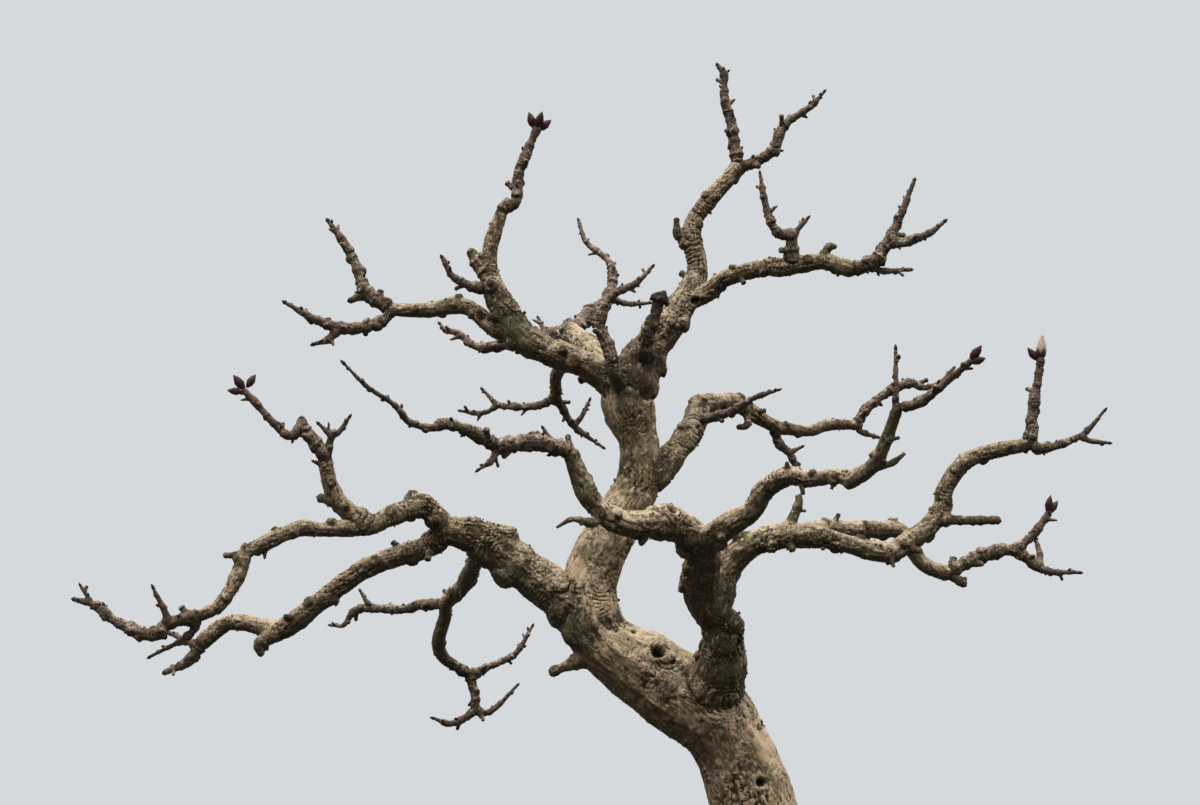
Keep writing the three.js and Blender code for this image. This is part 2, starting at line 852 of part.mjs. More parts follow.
// A place on a limb's surface, at an angle round it from the side that faces the viewer.
function onSurface(line, step, turn) {
  const tangent = line.tangentAt(step);
  const face = new THREE.Vector3(...VIEWER).projectOnPlane(tangent).normalize();
  face.applyAxisAngle(tangent, THREE.MathUtils.degToRad(turn));
  return line.at(step).addScaledVector(face, line.thickAt(step) / 2);
}

// The trunk's own shape: each ring near the ground swells into ridges, and broad swellings and
// hollows lie along the rest.
function shapeTrunk(rings, line) {
  const random = seededRandom("flare");
  const apart = (2 * Math.PI) / FLARE_RIDGES;
  const ridges = Array.from({ length: FLARE_RIDGES }, (_, i) => (i + RIDGE_SCATTER * random()) * apart);
  const swellings = TRUNK_SWELLINGS.map(([step, turn, width, height]) => {
    return { place: onSurface(line, step, turn), width, height };
  });
  for (const ring of rings) {
    const out = FLARE_OUT * Math.exp(-Math.max(0, ring.point.z) / FLARE_HEIGHT);
    ring.swell = (angle) => {
      const nearest = Math.max(...ridges.map((ridge) => Math.cos(angle - ridge)));
      const p = ring.point.clone().addScaledVector(ring.side, Math.cos(angle) * ring.radius);
      p.addScaledVector(ring.other, Math.sin(angle) * ring.radius);
      const rise = swellings.reduce((sum, { place, width, height }) => {
        return sum + height * Math.exp(-p.distanceToSquared(place) / width ** 2);
      }, 0);
      return 1 + out * (1 - RIDGE_SHARE + RIDGE_SHARE * (2 * nearest - 1)) + rise / ring.radius;
    };
  }
}

function budSolid(root, [heading, lean, length, thickness], extra) {
  const tangent = direction(heading, lean);
  const rings = BUD_PROFILE.map((share, i) => ({
    point: root.clone().addScaledVector(tangent, (length * i) / (BUD_PROFILE.length - 1)),
    tangent,
    radius: (share * thickness) / 2 + extra,
  }));
  return solidOf(tube(rings, BUD_SIDES));
}

// Every limb and fork with its line, in the order of the table.
const lines = {};

function growForks(limb, line, out) {
  for (const fork of limb.forks ?? []) {
    const forkLine = grow(line.at(fork.at), fork);
    out.push({ limb: fork, line: forkLine });
    growForks(fork, forkLine, out);
  }
}

for (const [name, limb] of Object.entries(LIMBS)) {
  const start = limb.on ? lines[limb.on][0].line.at(limb.at) : new THREE.Vector3(0, 0, 0);
  if (!limb.on) start.addScaledVector(direction(limb.growth[0][1], 0), -FOOT_DEPTH);
  lines[name] = [{ limb, line: grow(start, limb) }];
  growForks(limb, lines[name][0].line, lines[name]);
}

// Places along every line, for keeping spurs away from other limbs.
const places = Object.entries(lines).flatMap(([name, own]) =>
  own.flatMap(({ limb, line }) => {
    const steps = limb.growth.length;
    return Array.from({ length: PLACES_PER_STEP * steps + 1 }, (_, i) => {
      const step = i / PLACES_PER_STEP;
      return { name, point: line.at(step), radius: line.thickAt(step) / 2 };
    });
  }),
);

function hasRoom(point, name) {
  return places.every((p) => p.name === name || p.point.distanceTo(point) > p.radius + SPUR_ROOM);
}

// The spurs of one line by the seeded rule, as straight blunt shoots.
function spursOf(name, kind, line, random) {
  const spurs = [];
  const spacing = SPUR_SPACING[kind];
  let turn = 360 * random();
  for (let i = 0; i < line.count; i++) {
    const length = line.points[i].distanceTo(line.points[i + 1]);
    const wanted = Math.floor(length / spacing + random());
    for (let k = 0; k < wanted; k++) {
      const step = (i + (k + between(SPUR_PLACE, random())) / wanted) / line.scale;
      turn += SPUR_TURN + between(SPUR_TURN_SCATTER, random());
      const lean = THREE.MathUtils.degToRad(between(SPUR_LEAN, random()));
      const reach = between(SPUR_LENGTH[kind], random());
      const limbThick = line.thickAt(step);
      const tangent = line.tangentAt(step);
      const side = new THREE.Vector3(0, 1, 0).cross(tangent).normalize();
      side.applyAxisAngle(tangent, THREE.MathUtils.degToRad(turn));
      const way = tangent.clone().multiplyScalar(Math.cos(lean)).addScaledVector(side, Math.sin(lean));
      const root = line.at(step);
      const thick = Math.max(LEAST_SPUR_THICKNESS, SPUR_THICKNESS[kind] * limbThick);
      const out = limbThick / 2 / Math.sin(lean) + reach;
      const tip = root.clone().addScaledVector(way, out);
      if (tip.z > 0 && hasRoom(tip, name)) spurs.push({ root, way, thick, out });
    }
  }
  return spurs;
}

function spurSolid({ root, way, thick, out }, extra) {
  const ring = (along, share) => ({
    point: root.clone().addScaledVector(way, along),
    tangent: way,
    radius: (share * thick) / 2 + extra,
  });
  return solidOf(tube([ring(0, SPUR_TAPER[0]), ring(out, SPUR_TAPER[1])], SPUR_SIDES));
}

// One limb as a single solid, with its forks, spurs and buds fused on.
function limbSolid(name, extra) {
  const { kind } = LIMBS[name];
  const bare = kind === "trunk" || kind === "dead";
  const random = seededRandom(name);
  const solids = [];
  lines[name].forEach(({ limb, line }, i) => {
    const isTip = limb.roundEnd || i > 0 || kind === "twigs";
    const shape = i === 0 ? kind : "twigs";
    const rings = ringsAlong(line, shape, extra, isTip);
    if (shape === "trunk") shapeTrunk(rings, line);
    solids.push(solidOf(tube(rings, SIDES[shape])));
    const end = line.at(limb.growth.length);
    for (const bud of limb.buds ?? []) solids.push(budSolid(end, bud, extra));
    if (!bare) for (const spur of spursOf(name, kind, line, random)) solids.push(spurSolid(spur, extra));
  });
  const whole = solids.reduce((sum, next) => sum.add(next));
  return kind === "trunk" ? cutAtGround(whole) : whole;
}

function cutAtGround(solid) {
  const below = new THREE.BoxGeometry(GROUND_CUT.side, GROUND_CUT.side, GROUND_CUT.depth);
  below.deleteAttribute("normal");
  below.deleteAttribute("uv");
  below.translate(0, 0, -GROUND_CUT.depth / 2);
  return solid.subtract(solidOf(mergeVertices(below)));
}

const largest = (solid) => solid.decompose().reduce((a, b) => (b.volume() > a.volume() ? b : a));

const overlaps = (a, b) =>
  [0, 1, 2].every((i) => a.min[i] < b.max[i] + CLEARANCE && b.min[i] < a.max[i] + CLEARANCE);

// Each limb is cut clear of every limb before it in the table.
const made = [];
for (const name of Object.keys(LIMBS)) {
  let solid = limbSolid(name, 0);
  const fat = limbSolid(name, CLEARANCE);
  for (const other of made) {
    if (overlaps(solid.boundingBox(), other.fat.boundingBox())) solid = solid.subtract(other.fat);
  }
  made.push({ name, fat, solid: largest(solid) });
}

// The scene graph follows the tree: each limb is a child of the one that carries it, placed at its root.
function meshOf(name, solid, root) {
  const data = solid.getMesh();
  const geometry = new THREE.BufferGeometry();
  geometry.setAttribute("position", new THREE.BufferAttribute(new Float32Array(data.vertProperties), 3));
  geometry.setIndex(new THREE.BufferAttribute(new Uint32Array(data.triVerts), 1));
  geometry.translate(-root.x, -root.y, -root.z);
  const color = BARK[LIMBS[name].kind];
  const material = new THREE.MeshStandardMaterial({ color, roughness: ROUGHNESS, metalness: 0 });
  const mesh = new THREE.Mesh(geometry, material);
  mesh.name = name;
  return mesh;
}

const tree = new THREE.Group();
const meshes = {};
for (const { name, solid } of made) {
  const carrier = LIMBS[name].on;
  const root = lines[name][0].line.at(0);
  meshes[name] = meshOf(name, solid, root);
  if (!carrier) {
    meshes[name].position.copy(root);
    tree.add(meshes[name]);
  } else {
    meshes[name].position.copy(root).sub(lines[carrier][0].line.at(0));
    meshes[carrier].add(meshes[name]);
  }
}

export default tree;
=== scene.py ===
"""A bare winter tree of bonsai size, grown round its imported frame.

Lengths along the limbs are in millimetres, and become metres when a mesh is made. A limb's bark has
places of its own: how far along the limb it lies, and where across it.
"""

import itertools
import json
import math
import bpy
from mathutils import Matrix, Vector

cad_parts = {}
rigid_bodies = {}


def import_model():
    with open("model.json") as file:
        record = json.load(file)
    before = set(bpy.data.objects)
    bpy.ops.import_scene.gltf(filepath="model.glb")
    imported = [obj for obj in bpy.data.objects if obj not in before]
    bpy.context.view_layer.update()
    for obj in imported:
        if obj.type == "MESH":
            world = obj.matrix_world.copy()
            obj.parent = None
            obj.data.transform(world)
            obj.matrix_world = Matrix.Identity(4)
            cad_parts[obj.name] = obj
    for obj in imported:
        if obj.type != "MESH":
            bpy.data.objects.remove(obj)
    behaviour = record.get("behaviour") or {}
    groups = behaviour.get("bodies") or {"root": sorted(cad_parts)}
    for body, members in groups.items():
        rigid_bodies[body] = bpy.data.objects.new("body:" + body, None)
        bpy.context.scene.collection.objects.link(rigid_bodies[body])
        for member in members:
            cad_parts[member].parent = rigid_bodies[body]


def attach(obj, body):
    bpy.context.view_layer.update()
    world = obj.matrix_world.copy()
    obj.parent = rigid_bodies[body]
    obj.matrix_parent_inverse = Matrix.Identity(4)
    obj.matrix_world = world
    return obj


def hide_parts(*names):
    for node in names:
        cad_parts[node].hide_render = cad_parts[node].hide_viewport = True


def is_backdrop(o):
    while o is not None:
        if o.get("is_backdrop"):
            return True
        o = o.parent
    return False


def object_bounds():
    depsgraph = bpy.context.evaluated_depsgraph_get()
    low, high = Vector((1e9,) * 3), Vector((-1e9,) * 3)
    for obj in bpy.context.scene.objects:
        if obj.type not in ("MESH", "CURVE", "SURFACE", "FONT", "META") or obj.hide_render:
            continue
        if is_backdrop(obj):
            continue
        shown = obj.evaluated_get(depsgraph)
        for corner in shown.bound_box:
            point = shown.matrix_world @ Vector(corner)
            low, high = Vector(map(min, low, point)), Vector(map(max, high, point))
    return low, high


bl_info = {
    "name": "Bare Dwarf Tree",
    "version": (1, 0, 0),
    "blender": (4, 5, 0),
    "location": "3D View > Sidebar > Tree",
    "description": "Grows the bark, boughs, twigs and buds of a bare dwarf tree",
    "category": "Add Mesh",
}

import bpy
import numpy as np
from mathutils import Quaternion, Vector
from mathutils.bvhtree import BVHTree

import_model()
CAD_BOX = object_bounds()

MM = 0.001
BODY = "root"

# The solids' own sizes, in millimetres
FOOT_DEPTH = 10
FLARE_HEIGHT = 20
FLARE_OUT = 0.36
FLARE_RIDGES = 5
RIDGE_SHARE = 0.45
RIDGE_SCATTER = 0.5

# The seeded rule for the short blunt shoots that stand along every limb: how they turn round it, where
# in their share of it they stand, and the room they need
SHOOT_TURN = 137.5
SHOOT_TURN_SCATTER = (-20, 20)
SHOOT_PLACE = (0.25, 0.75)
SHOOT_ROOM = 3
PLACES_PER_STEP = 4

# By sort of shoot and kind of limb: spacing along the limb, lean off it in degrees, reach beyond its
# surface, thickness as a share of the limb's, and least thickness. Spurs are those that the solids
# have too, and knobs are low swellings of the bark between them.
SHOOTS = {
    "spurs": {
        "bough": (30, (48, 74), (2.5, 4.5), 0.26, 1.3),
        "twigs": (17, (48, 74), (2, 4.6), 0.44, 1.3),
    },
    "knobs": {
        "bough": (12, (62, 88), (0.2, 1.5), 0.42, 1.5),
        "twigs": (6.5, (62, 88), (0.1, 0.9), 0.62, 1.5),
    },
    "buds": {"twigs": (9.5, (24, 42), (1.4, 2.4), 0.72, 1)},
}

# The linear congruential rule behind every random share of that rule
FIRST_SEED = 7
LETTER_STEP = 31
RANDOM_STEP = 1664525
RANDOM_SHIFT = 1013904223
RANDOM_RANGE = 2**32


def limb(kind, on, at, thick, growth, forks=(), buds=()):
    """What carries a limb, where it leaves it, and its steps of growth.

    A step is (length, heading, lean, thickness at its end). Heading is degrees from +X up towards +Z,
    and lean is degrees towards +Y. A bud is (heading, lean, length, thickness) on the limb's end.
    """
    return {
        "kind": kind, "on": on, "at": at, "thick": thick, "growth": growth, "forks": forks, "buds": buds,
    }


def fork(at, thick, growth, forks=(), buds=()):
    return limb(None, None, at, thick, growth, forks, buds)


LIMBS = {
    "trunk": limb("trunk", None, 0, 61, [
        (10, 94, 0, 60), (68, 95, 0, 51), (38, 101, 0, 47), (37, 102, 0, 43), (33, 111, 0, 38.5),
        (14, 122, 0, 41.5), (22, 147, 0, 41), (42, 145, 0, 32), (16, 118, 0, 32), (18, 87, 0, 28),
        (25, 65, 0, 26), (28, 62, 0, 23), (20, 90, 0, 21), (22, 108, 0, 25), (11, 81, 0, 23),
    ], forks=[
        fork(7.9, 9, [(18, -154, -8, 7), (12, -157, -6, 5)]),
    ]),
    # Lower left boughs
    "bough_left": limb("bough", "trunk", 8.35, 23, [
        (21, 135, 0, 21.5), (48, 145, -10, 21.6), (8.5, 148, -11, 18.4), (15, 171, -8, 13),
    ]),
    "bough_left_upper": limb("bough", "bough_left", 3.95, 11.8, [
        (13, 127, -23, 11), (6.5, 176, -28, 10.7), (16, -159, -22, 9.7), (7, -148, -16, 8.8),
        (29, -171, -24, 7.4), (8, 178, -31, 7.7), (31, -153, -25, 7.2),
    ], forks=[
        fork(1.1, 9, [(8, 152, -10, 8), (3, 118, 0, 6.5)]),
    ]),
    "bough_left_outer": limb("bough", "bough_left_upper", 7, 7.6, [
        (11.5, -107, -5, 7.5), (17, -118, -10, 6.6), (9, -149, -7, 6.5),
    ], forks=[
        fork(0.2, 4, [(9, 178, -5, 2.6)]),
    ]),
    "bough_left_lower": limb("bough", "bough_left", 4, 11.8, [
        (6, -120, 21, 11.8), (8.5, -154, 13, 11), (30, -162, 11, 10), (52, -145, 11, 10),
        (5.5, -175, 15, 9),
    ], forks=[
        fork(4.47, 7, [(11.5, -138, -7, 6), (4.5, -79, 1, 3.4)]),
    ]),
    "bough_left_low_end": limb("bough", "bough_left_lower", 5, 8.9, [
        (17, 166, 7, 8.4), (7.5, -174, 7, 8), (15, -142, 4, 7.8),
    ]),
    "bough_rising": limb("bough", "bough_left_upper", 4.2, 9.7, [
        (18, 139, -15, 8.2), (13, 113, -17, 7.2), (7.5, 97, -17, 7.2),
    ], forks=[
        fork(1.02, 5.4, [(9, 172, -6, 4.3)]),
    ]),
    "bough_under": limb("bough", "bough_left", 2.2, 8, [
        (35, -137, 76, 7.8), (16, -126, 70, 8.6), (17, -133, 64, 8.8), (24, -144, 60, 8.2),
    ]),
    "bough_hanging": limb("bough", "bough_under", 4, 7.3, [
        (8.5, -95, 45, 6.9), (19, -107, 40, 6.8), (8.5, -70, 41, 6.4), (9, -37, 28, 5.9),
    ]),
    # Boughs that come forward from the trunk's bend
    "bough_front": limb("bough", "trunk", 6.3, 23, [
        (30, 66, -48, 21.5), (13, 86, -36, 20.4), (11, 98, -33, 18.6), (20, 126, -37, 18.2),
        (29, 92, -49, 15.8),
    ]),
    "bough_front_left": limb("bough", "bough_front", 4.93, 15.8, [
        (15, 132, -39, 15.8), (11.5, 163, -39, 15), (25, -175, -37, 11.2), (8.5, 160, -30, 10.8),
        (13, 140, -20, 9.8), (22, 113, -15, 7.8),
    ], forks=[
        fork(5.98, 4.2, [(8.5, 103, -2, 2.8)]),
        fork(4.5, 4.2, [(8, -113, -29, 3.6), (11.5, 176, -32, 2.8), (8, -150, -14, 1.6)]),
    ]),
    "bough_front_right": limb("bough", "bough_front", 4.85, 14, [
        (13, 72, -58, 12.9), (31, 31, -39, 9.8), (6.5, 68, -26, 10), (10.5, 37, -28, 9.3),
        (8.5, 14, -37, 8.8), (8, -21, -30, 7), (15, 3, -32, 6.9), (7.5, -21, -31, 7.5),
    ]),
    "bough_front_right_outer": limb("bough", "bough_front_right", 8, 7.6, [
        (13, 34, -33, 6.7), (29, 68, -32, 5),
    ], forks=[
        fork(0.9, 3.4, [(8, 4, -20, 2.8), (8, 35, -10, 1.8)]),
    ]),
    "bough_right_low": limb("bough", "bough_front", 3.58, 14.6, [
        (24, 65, -7, 13.2), (16, 35, -15, 12.6), (21, 9, 0, 11.8), (20, -11, 0, 8.8),
        (17, -14, 7, 9.3), (7.5, 1, 15, 9.6),
    ], forks=[
        fork(2.63, 5.8, [(18, 68, 0, 3.8), (2.5, 97, 0, 2.6)]),
        fork(5.6, 3.4, [(8, -68, -20, 1.8)]),
    ]),
    "bough_right_outer": limb("bough", "bough_right_low", 6, 9.8, [
        (21, 35, 5, 10.3), (12, 53, -4, 8.7), (6.5, 87, -9, 8.2), (6.5, 63, -9, 8.2),
        (14, 49, -8, 8.4), (29, 14, -8, 6.8),
    ], forks=[
        fork(1.42, 5.4, [(12, -4, -15, 4), (18, -2, -15, 3.9)]),
    ]),
    "bough_right_behind": limb("bough", "bough_right_low", 3.17, 8.6, [
        (14, 43, 59, 8.2), (33, 8, 53, 8), (15, 6, 42, 8.8), (16, 0, 29, 8.8), (18, -54, 12, 8),
        (7.5, -34, 8, 7.6), (8, -14, 8, 7.8),
    ], forks=[
        fork(6.9, 5, [(10.5, -32, 0, 4)]),
    ]),
    # The bough on the right of the leader, which turns back at its knee
    "bough_right": limb("bough", "trunk", 12.05, 15, [
        (8.5, 24, 14, 14), (32, 51, 18, 12.4), (21, 74, 41, 12.2),
    ]),
    "bough_right_back": limb("bough", "bough_right", 3, 10.2, [
        (32, 19, 56, 9.4), (10, -6, 50, 9.4), (27, -22, 42, 7.5), (12, -3, 43, 6.1), (13, 0, 28, 6),
        (13, 21, 26, 6.3), (16, 4, 23, 5.1),
    ], forks=[
        fork(2.18, 3.8, [(11, -89, -28, 3.6), (5.5, -165, -22, 2.4)]),
    ]),
    # Upper boughs
    "bough_top_left": limb("bough", "trunk", 14.62, 15, [
        (22, 153, -10, 13.6), (30, 159, -6, 14.5), (9.5, 138, -6, 15), (19, 122, 0, 13.6),
    ]),
    "bough_top_left_outer": limb("bough", "bough_top_left", 4, 13, [
        (15, 110, 0, 9.6), (17, 83, 0, 7.2), (13, 72, -5, 7),
    ], forks=[
        fork(0.9, 7, [(8, 132, 0, 6.4), (7, 122, 0, 4.6)]),
    ]),
    "bough_top_left_side": limb("bough", "bough_top_left", 3.1, 9, [
        (11, 172, 15, 9), (19, 142, 19, 8.3), (8, 169, 14, 8.9), (10.5, -171, 11, 7.7),
        (22, 178, 10, 7.2),
    ]),
    "bough_top_right": limb("bough", "trunk", 14.5, 20, [(27, 59, 4, 18.4), (33, 56, 11, 14.4)]),
    "bough_top_right_upper": limb("bough", "bough_top_right", 1.97, 13.2, [
        (14, 69, 0, 10.2), (19, 99, 0, 10.6), (8, 79, 0, 9.3), (36, 51, 0, 7.8),
    ], forks=[
        fork(1.94, 5.4, [(6.5, 176, 0, 4.6), (9, 96, 0, 2.8)]),
    ]),
    "bough_top_right_side": limb("bough", "bough_top_right", 1.87, 10.1, [
        (14, 19, -14, 9.2), (9.5, 38, -18, 9), (24, 12, -19, 9), (6, -7, -11, 9.9),
        (22, 6, -8, 8.2), (14, -18, -8, 8.4),
    ], forks=[
        fork(4.92, 4.6, [(8.5, 61, -1, 4), (3, 10, 0, 2.8)]),
    ]),
    "dead_stub": limb("dead", "bough_top_right", 0.79, 7.6, [
        (14, -120, -78, 7), (10, 80, -33, 6.8), (12, 72, -5, 6), (8, 75, 0, 7),
    ]),
    "bough_back": limb("bough", "trunk", 14.57, 14, [
        (29, 123, 55, 13.3), (44, 122, 56, 12.7), (22, 133, 53, 11.6),
    ]),
    "bough_back_low": limb("bough", "bough_back", 1.5, 8.3, [
        (44, 177, 65, 7), (14, -129, 68, 6.4), (10.5, -86, 61, 6), (7, -125, 56, 6),
    ]),
    # Twigs at the left
    "twigs_far_left": limb("twigs", "bough_left_outer", 3, 6.5, [
        (17, -164, -7, 5.7), (5.5, -134, -9, 6.4), (5, -172, -13, 6), (15, 158, 0, 4.7),
        (15, 145, 0, 3.7), (7, 166, 1, 2.2),
    ], forks=[
        fork(4.97, 2, [(9, 123, -6, 1.3)]),
        fork(0.97, 3.8, [(3.5, 85, -35, 3.3), (14, 114, -17, 1.6)]),
        fork(0.15, 4.2, [(8, -108, 17, 3.3), (22, -151, 10, 1.6)]),
    ]),
    "twigs_low_left": limb("twigs", "bough_left_low_end", 3, 7, [
        (11, -125, 0, 5.2), (12, -152, -10, 2.6),
    ], forks=[
        fork(0.2, 4, [(17, 156, 7, 2)]),
    ]),
    "twigs_rising_right": limb("twigs", "bough_rising", 2.55, 4.4, [
        (15.5, 80, -12, 3.5), (4.5, 35, 0, 2.6), (7, 55, -8, 1.6),
    ], forks=[
        fork(1.04, 3, [(8, 138, -7, 1.8)]),
    ]),
    "twigs_rising": limb("twigs", "bough_rising", 3, 7, [
        (5.5, 112, -11, 6.7), (14, 136, -17, 5.8), (6, -149, -17, 3.9), (31, 136, -10, 2.8),
    ], forks=[
        fork(1.94, 4.8, [(4, 94, -1, 3.8)]),
    ], buds=[(127, -10, 9, 4.4), (176, -20, 7.5, 3.6), (60, 10, 8, 3.8)]),
    "twigs_under_left": limb("twigs", "bough_under", 4, 6.2, [
        (17, 179, 35, 5.3), (9.5, -168, 26, 4.3), (28, 177, 26, 3.9), (5, -154, 20, 3.6),
        (8.5, -128, 14, 2.3), (6.5, 177, 18, 1.6),
    ], forks=[
        fork(2.63, 3.2, [(4.5, 144, 4, 2.7), (7, 123, 8, 1.6)]),
    ]),
    "twigs_hanging": limb("twigs", "bough_hanging", 4, 5.9, [
        (9.5, -24, 25, 5.4), (12, 21, 19, 3.5), (16, 29, 15, 3.1), (16, 59, 7, 1.5),
    ], forks=[
        fork(1, 4.4, [(19, -83, 0, 4.2), (15, -148, -8, 3.2), (8, 163, -7, 1.7)], forks=[
            fork(0.98, 4.2, [(5.5, -28, 10, 3.7), (6, 22, 10, 2.8), (17, 46, 7, 1.5)]),
        ]),
    ]),
    # Twigs at the front
    "twigs_front_left": limb("twigs", "bough_front_left", 6, 6.8, [
        (6.5, 157, -21, 6.7), (15, 174, -31, 7.2), (15, -170, -24, 6.2), (16, 158, -30, 4.8),
        (13, 170, -33, 5), (5, -153, -23, 3.3), (7, 177, -25, 3), (5.5, 163, -35, 2.7),
        (10, 132, -29, 2.3), (16, 149, -31, 1.8), (12, 136, -18, 1.2),
    ], forks=[
        fork(3, 3.2, [(8.5, -115, -14, 2.4), (5.5, -143, -11, 1.4)]),
        fork(1.15, 2.8, [(9, 124, -11, 1.4)]),
    ]),
    "twigs_front_right": limb("twigs", "bough_front_right_outer", 2, 4.8, [
        (7, 4, -25, 4), (7.5, 27, -23, 3.6), (25, 38, -31, 2.8),
    ], buds=[(52, -22, 8.5, 4), (14, -30, 7, 3.4)]),
    "twigs_front_right_up": limb("twigs", "bough_front_right_outer", 1.8, 3.2, [
        (9, 84, -17, 2.7), (21, 89, 0, 1.5),
    ]),
    "twigs_right_front": limb("twigs", "bough_right", 2.63, 5.1, [
        (12, -54, -62, 4.9), (20, 8, -44, 4), (14, 26, -37, 2.6), (11, 15, -20, 1.4),
    ]),
    # Twigs at the right
    "twigs_right_end": limb("twigs", "bough_right_outer", 6, 5.8, [
        (7.5, -18, -8, 4.4), (20, 19, -8, 2.9), (14, 47, -5, 1.5),
    ], forks=[
        fork(1.94, 2.9, [(4, -39, -4, 2.6), (9, -7, 0, 1.5)]),
    ]),
    "twigs_right_up": limb("twigs", "bough_right_outer", 5.97, 6.4, [
        (6.5, 62, 0, 6.2), (9, 86, -2, 4.7), (26, 80, -2, 3.4),
    ], buds=[(128, -6, 8, 3.6), (84, 0, 12, 5.6)]),
    "twigs_right_behind": limb("twigs", "bough_right_behind", 7, 7, [
        (18, 28, 6, 6.6), (15, 13, 0, 6.2), (4.5, -7, 1, 5.4), (17, -34, 0, 4), (16, -4, 0, 1.8),
    ], forks=[
        fork(2.84, 4.6, [(14, 41, 0, 3.9), (12, 54, 0, 3.4)], buds=[(78, -8, 9, 3.8), (52, 12, 9, 3.8)]),
        fork(3.79, 3.5, [(8.5, 68, 45, 3), (12, 96, 30, 1.9)]),
    ]),
    "twigs_right_back": limb("twigs", "bough_right_back", 7, 4.9, [
        (15, 52, 15, 4.8), (15, 37, 12, 4.9), (13, 21, 9, 5.1), (7.5, -21, -1, 3), (9, 19, 7, 2.7),
        (10.5, 46, 5, 1.7),
    ], forks=[
        fork(0.16, 3.8, [(5, -74, 4, 3.3), (10.5, -19, 5, 1.7)]),
    ]),
    "twigs_right_down": limb("twigs", "bough_right_back", 3.01, 4.8, [
        (10, -72, 23, 4.3), (7.5, -43, 15, 3.8), (8, -64, 8, 3.6),
    ], forks=[
        fork(2, 2.6, [(7, 24, -12, 1.5)]),
    ]),
    # Twigs at the top
    "twigs_top_left": limb("twigs", "bough_top_left_outer", 3, 6.6, [
        (5, 59, 1, 6.1), (5, 24, 0, 5.7), (15, 83, 0, 5.1), (25, 69, 0, 3.7),
    ], buds=[(108, -6, 9, 4.4), (70, -22, 9.5, 4.4), (42, 8, 9, 4.2)]),
    "twigs_top_left_spur": limb("twigs", "bough_top_left_outer", 0.43, 5, [
        (7.5, -179, -8, 4.6), (13, 159, -9, 3.6), (10.5, 121, -5, 2),
    ]),
    "twigs_side_up": limb("twigs", "bough_top_left_side", 5, 7.1, [
        (15, 144, 4, 6.5), (17, 113, 4, 5.2), (14, 119, 4, 4), (12, 126, 0, 2.2),
    ], forks=[
        fork(0.99, 4.2, [(8, -156, -6, 3.2)]),
    ]),
    "twigs_side_down": limb("twigs", "bough_top_left_side", 4.96, 5.7, [
        (8, -129, -12, 5.7), (18, -164, -13, 5.9), (16, 167, -11, 4.6), (17, 152, -10, 2.1),
    ], forks=[
        fork(2.27, 4.1, [(9, -132, -7, 3.5), (6, -160, -10, 2.1)]),
    ]),
    "twigs_top": limb("twigs", "bough_top_right_upper", 4, 6.2, [
        (24, 98, 0, 5.2), (15, 103, 0, 3.9), (11.5, 90, 0, 3.2), (4.5, 124, 1, 2.1),
    ]),
    "twigs_top_right": limb("twigs", "bough_top_right_upper", 3.97, 5.7, [
        (14, 22, -4, 5.1), (9, 41, -6, 6), (8.5, 72, 0, 4.6), (6.5, 52, 0, 4.2), (15, 35, 0, 3.1),
        (9, 48, -7, 1.5),
    ]),
    "twigs_side_right": limb("twigs", "bough_top_right_side", 6, 7.5, [
        (12, 17, -10, 6.6), (10.5, 55, -5, 6), (13, 62, -2, 4.1), (22, 68, -2, 2),
    ], forks=[
        fork(2.15, 4.6, [(7, -9, -7, 4.4), (7.5, 18, -7, 4), (8, 22, 0, 3.5), (7.5, 39, 0, 2)]),
        fork(0.75, 3.6, [(6, -28, 15, 3), (15, 3, 8, 1.8)]),
    ]),
    "twigs_side_middle": limb("twigs", "bough_top_right_side", 4.31, 6.6, [
        (11, 95, -27, 6.1), (5, 91, -12, 6), (4.5, -176, -12, 5), (7, 137, -9, 4.5),
        (16, 106, -3, 3.1), (10, 98, -1, 1.5),
    ], forks=[
        fork(1.78, 3.6, [(10.5, 48, -7, 1.6)]),
    ]),
    "twigs_fork": limb("twigs", "trunk", 14.45, 7, [
        (20, 138, -67, 6.8), (11, 103, -8, 5.9), (15, 107, 0, 4.6), (14, 69, 0, 4), (15, 29, 0, 3),
        (10, 47, 0, 1.6),
    ], forks=[
        fork(2.84, 3, [(5, 159, -12, 2)]),
    ]),
    # Twigs at the back
    "twigs_back_top": limb("twigs", "bough_back", 2.87, 8.6, [
        (13, 52, 52, 7.8), (12, 54, 42, 8.5), (12, 39, 41, 7.7), (10.5, 60, 38, 7),
        (10.5, 76, 33, 5.6), (11.5, 90, 32, 4.4), (8, 107, 29, 3.4), (20, 134, 23, 2.8),
        (13, 107, 19, 1.7),
    ], forks=[
        fork(4.06, 3.4, [(11.5, -14, 17, 2.8), (15, 6, 16, 1.7)]),
    ]),
    "twigs_back_left": limb("twigs", "bough_back", 3, 7.2, [
        (21, 170, 60, 7.1), (20, 178, 55, 6.6), (27, 179, 42, 5.7), (9, 179, 23, 4),
        (17, 143, 18, 3.8), (6.5, 166, 16, 2.8), (4, 128, 14, 1.8),
    ], forks=[
        fork(1.07, 3.3, [(10.5, 114, 16, 1.7)]),
    ]),
    "twigs_back_low_left": limb("twigs", "bough_back_low", 4, 4.9, [
        (9, -164, 27, 4), (25, 174, 26, 3.2), (12, 135, 15, 1.7),
    ], forks=[
        fork(2.02, 2.9, [(7, -147, 17, 2.8), (7.5, -176, 24, 2.6), (8.5, 168, 20, 1.7)]),
    ]),
    "twigs_back_low_right": limb("twigs", "bough_back_low", 3.71, 4.9, [
        (6.5, -43, 37, 4.4), (14, -55, 26, 3.4), (19, -35, 15, 1.7),
    ], forks=[
        fork(1.97, 2.8, [(5.5, 45, 0, 2.6), (10, 64, 0, 1.6)]),
    ]),
}

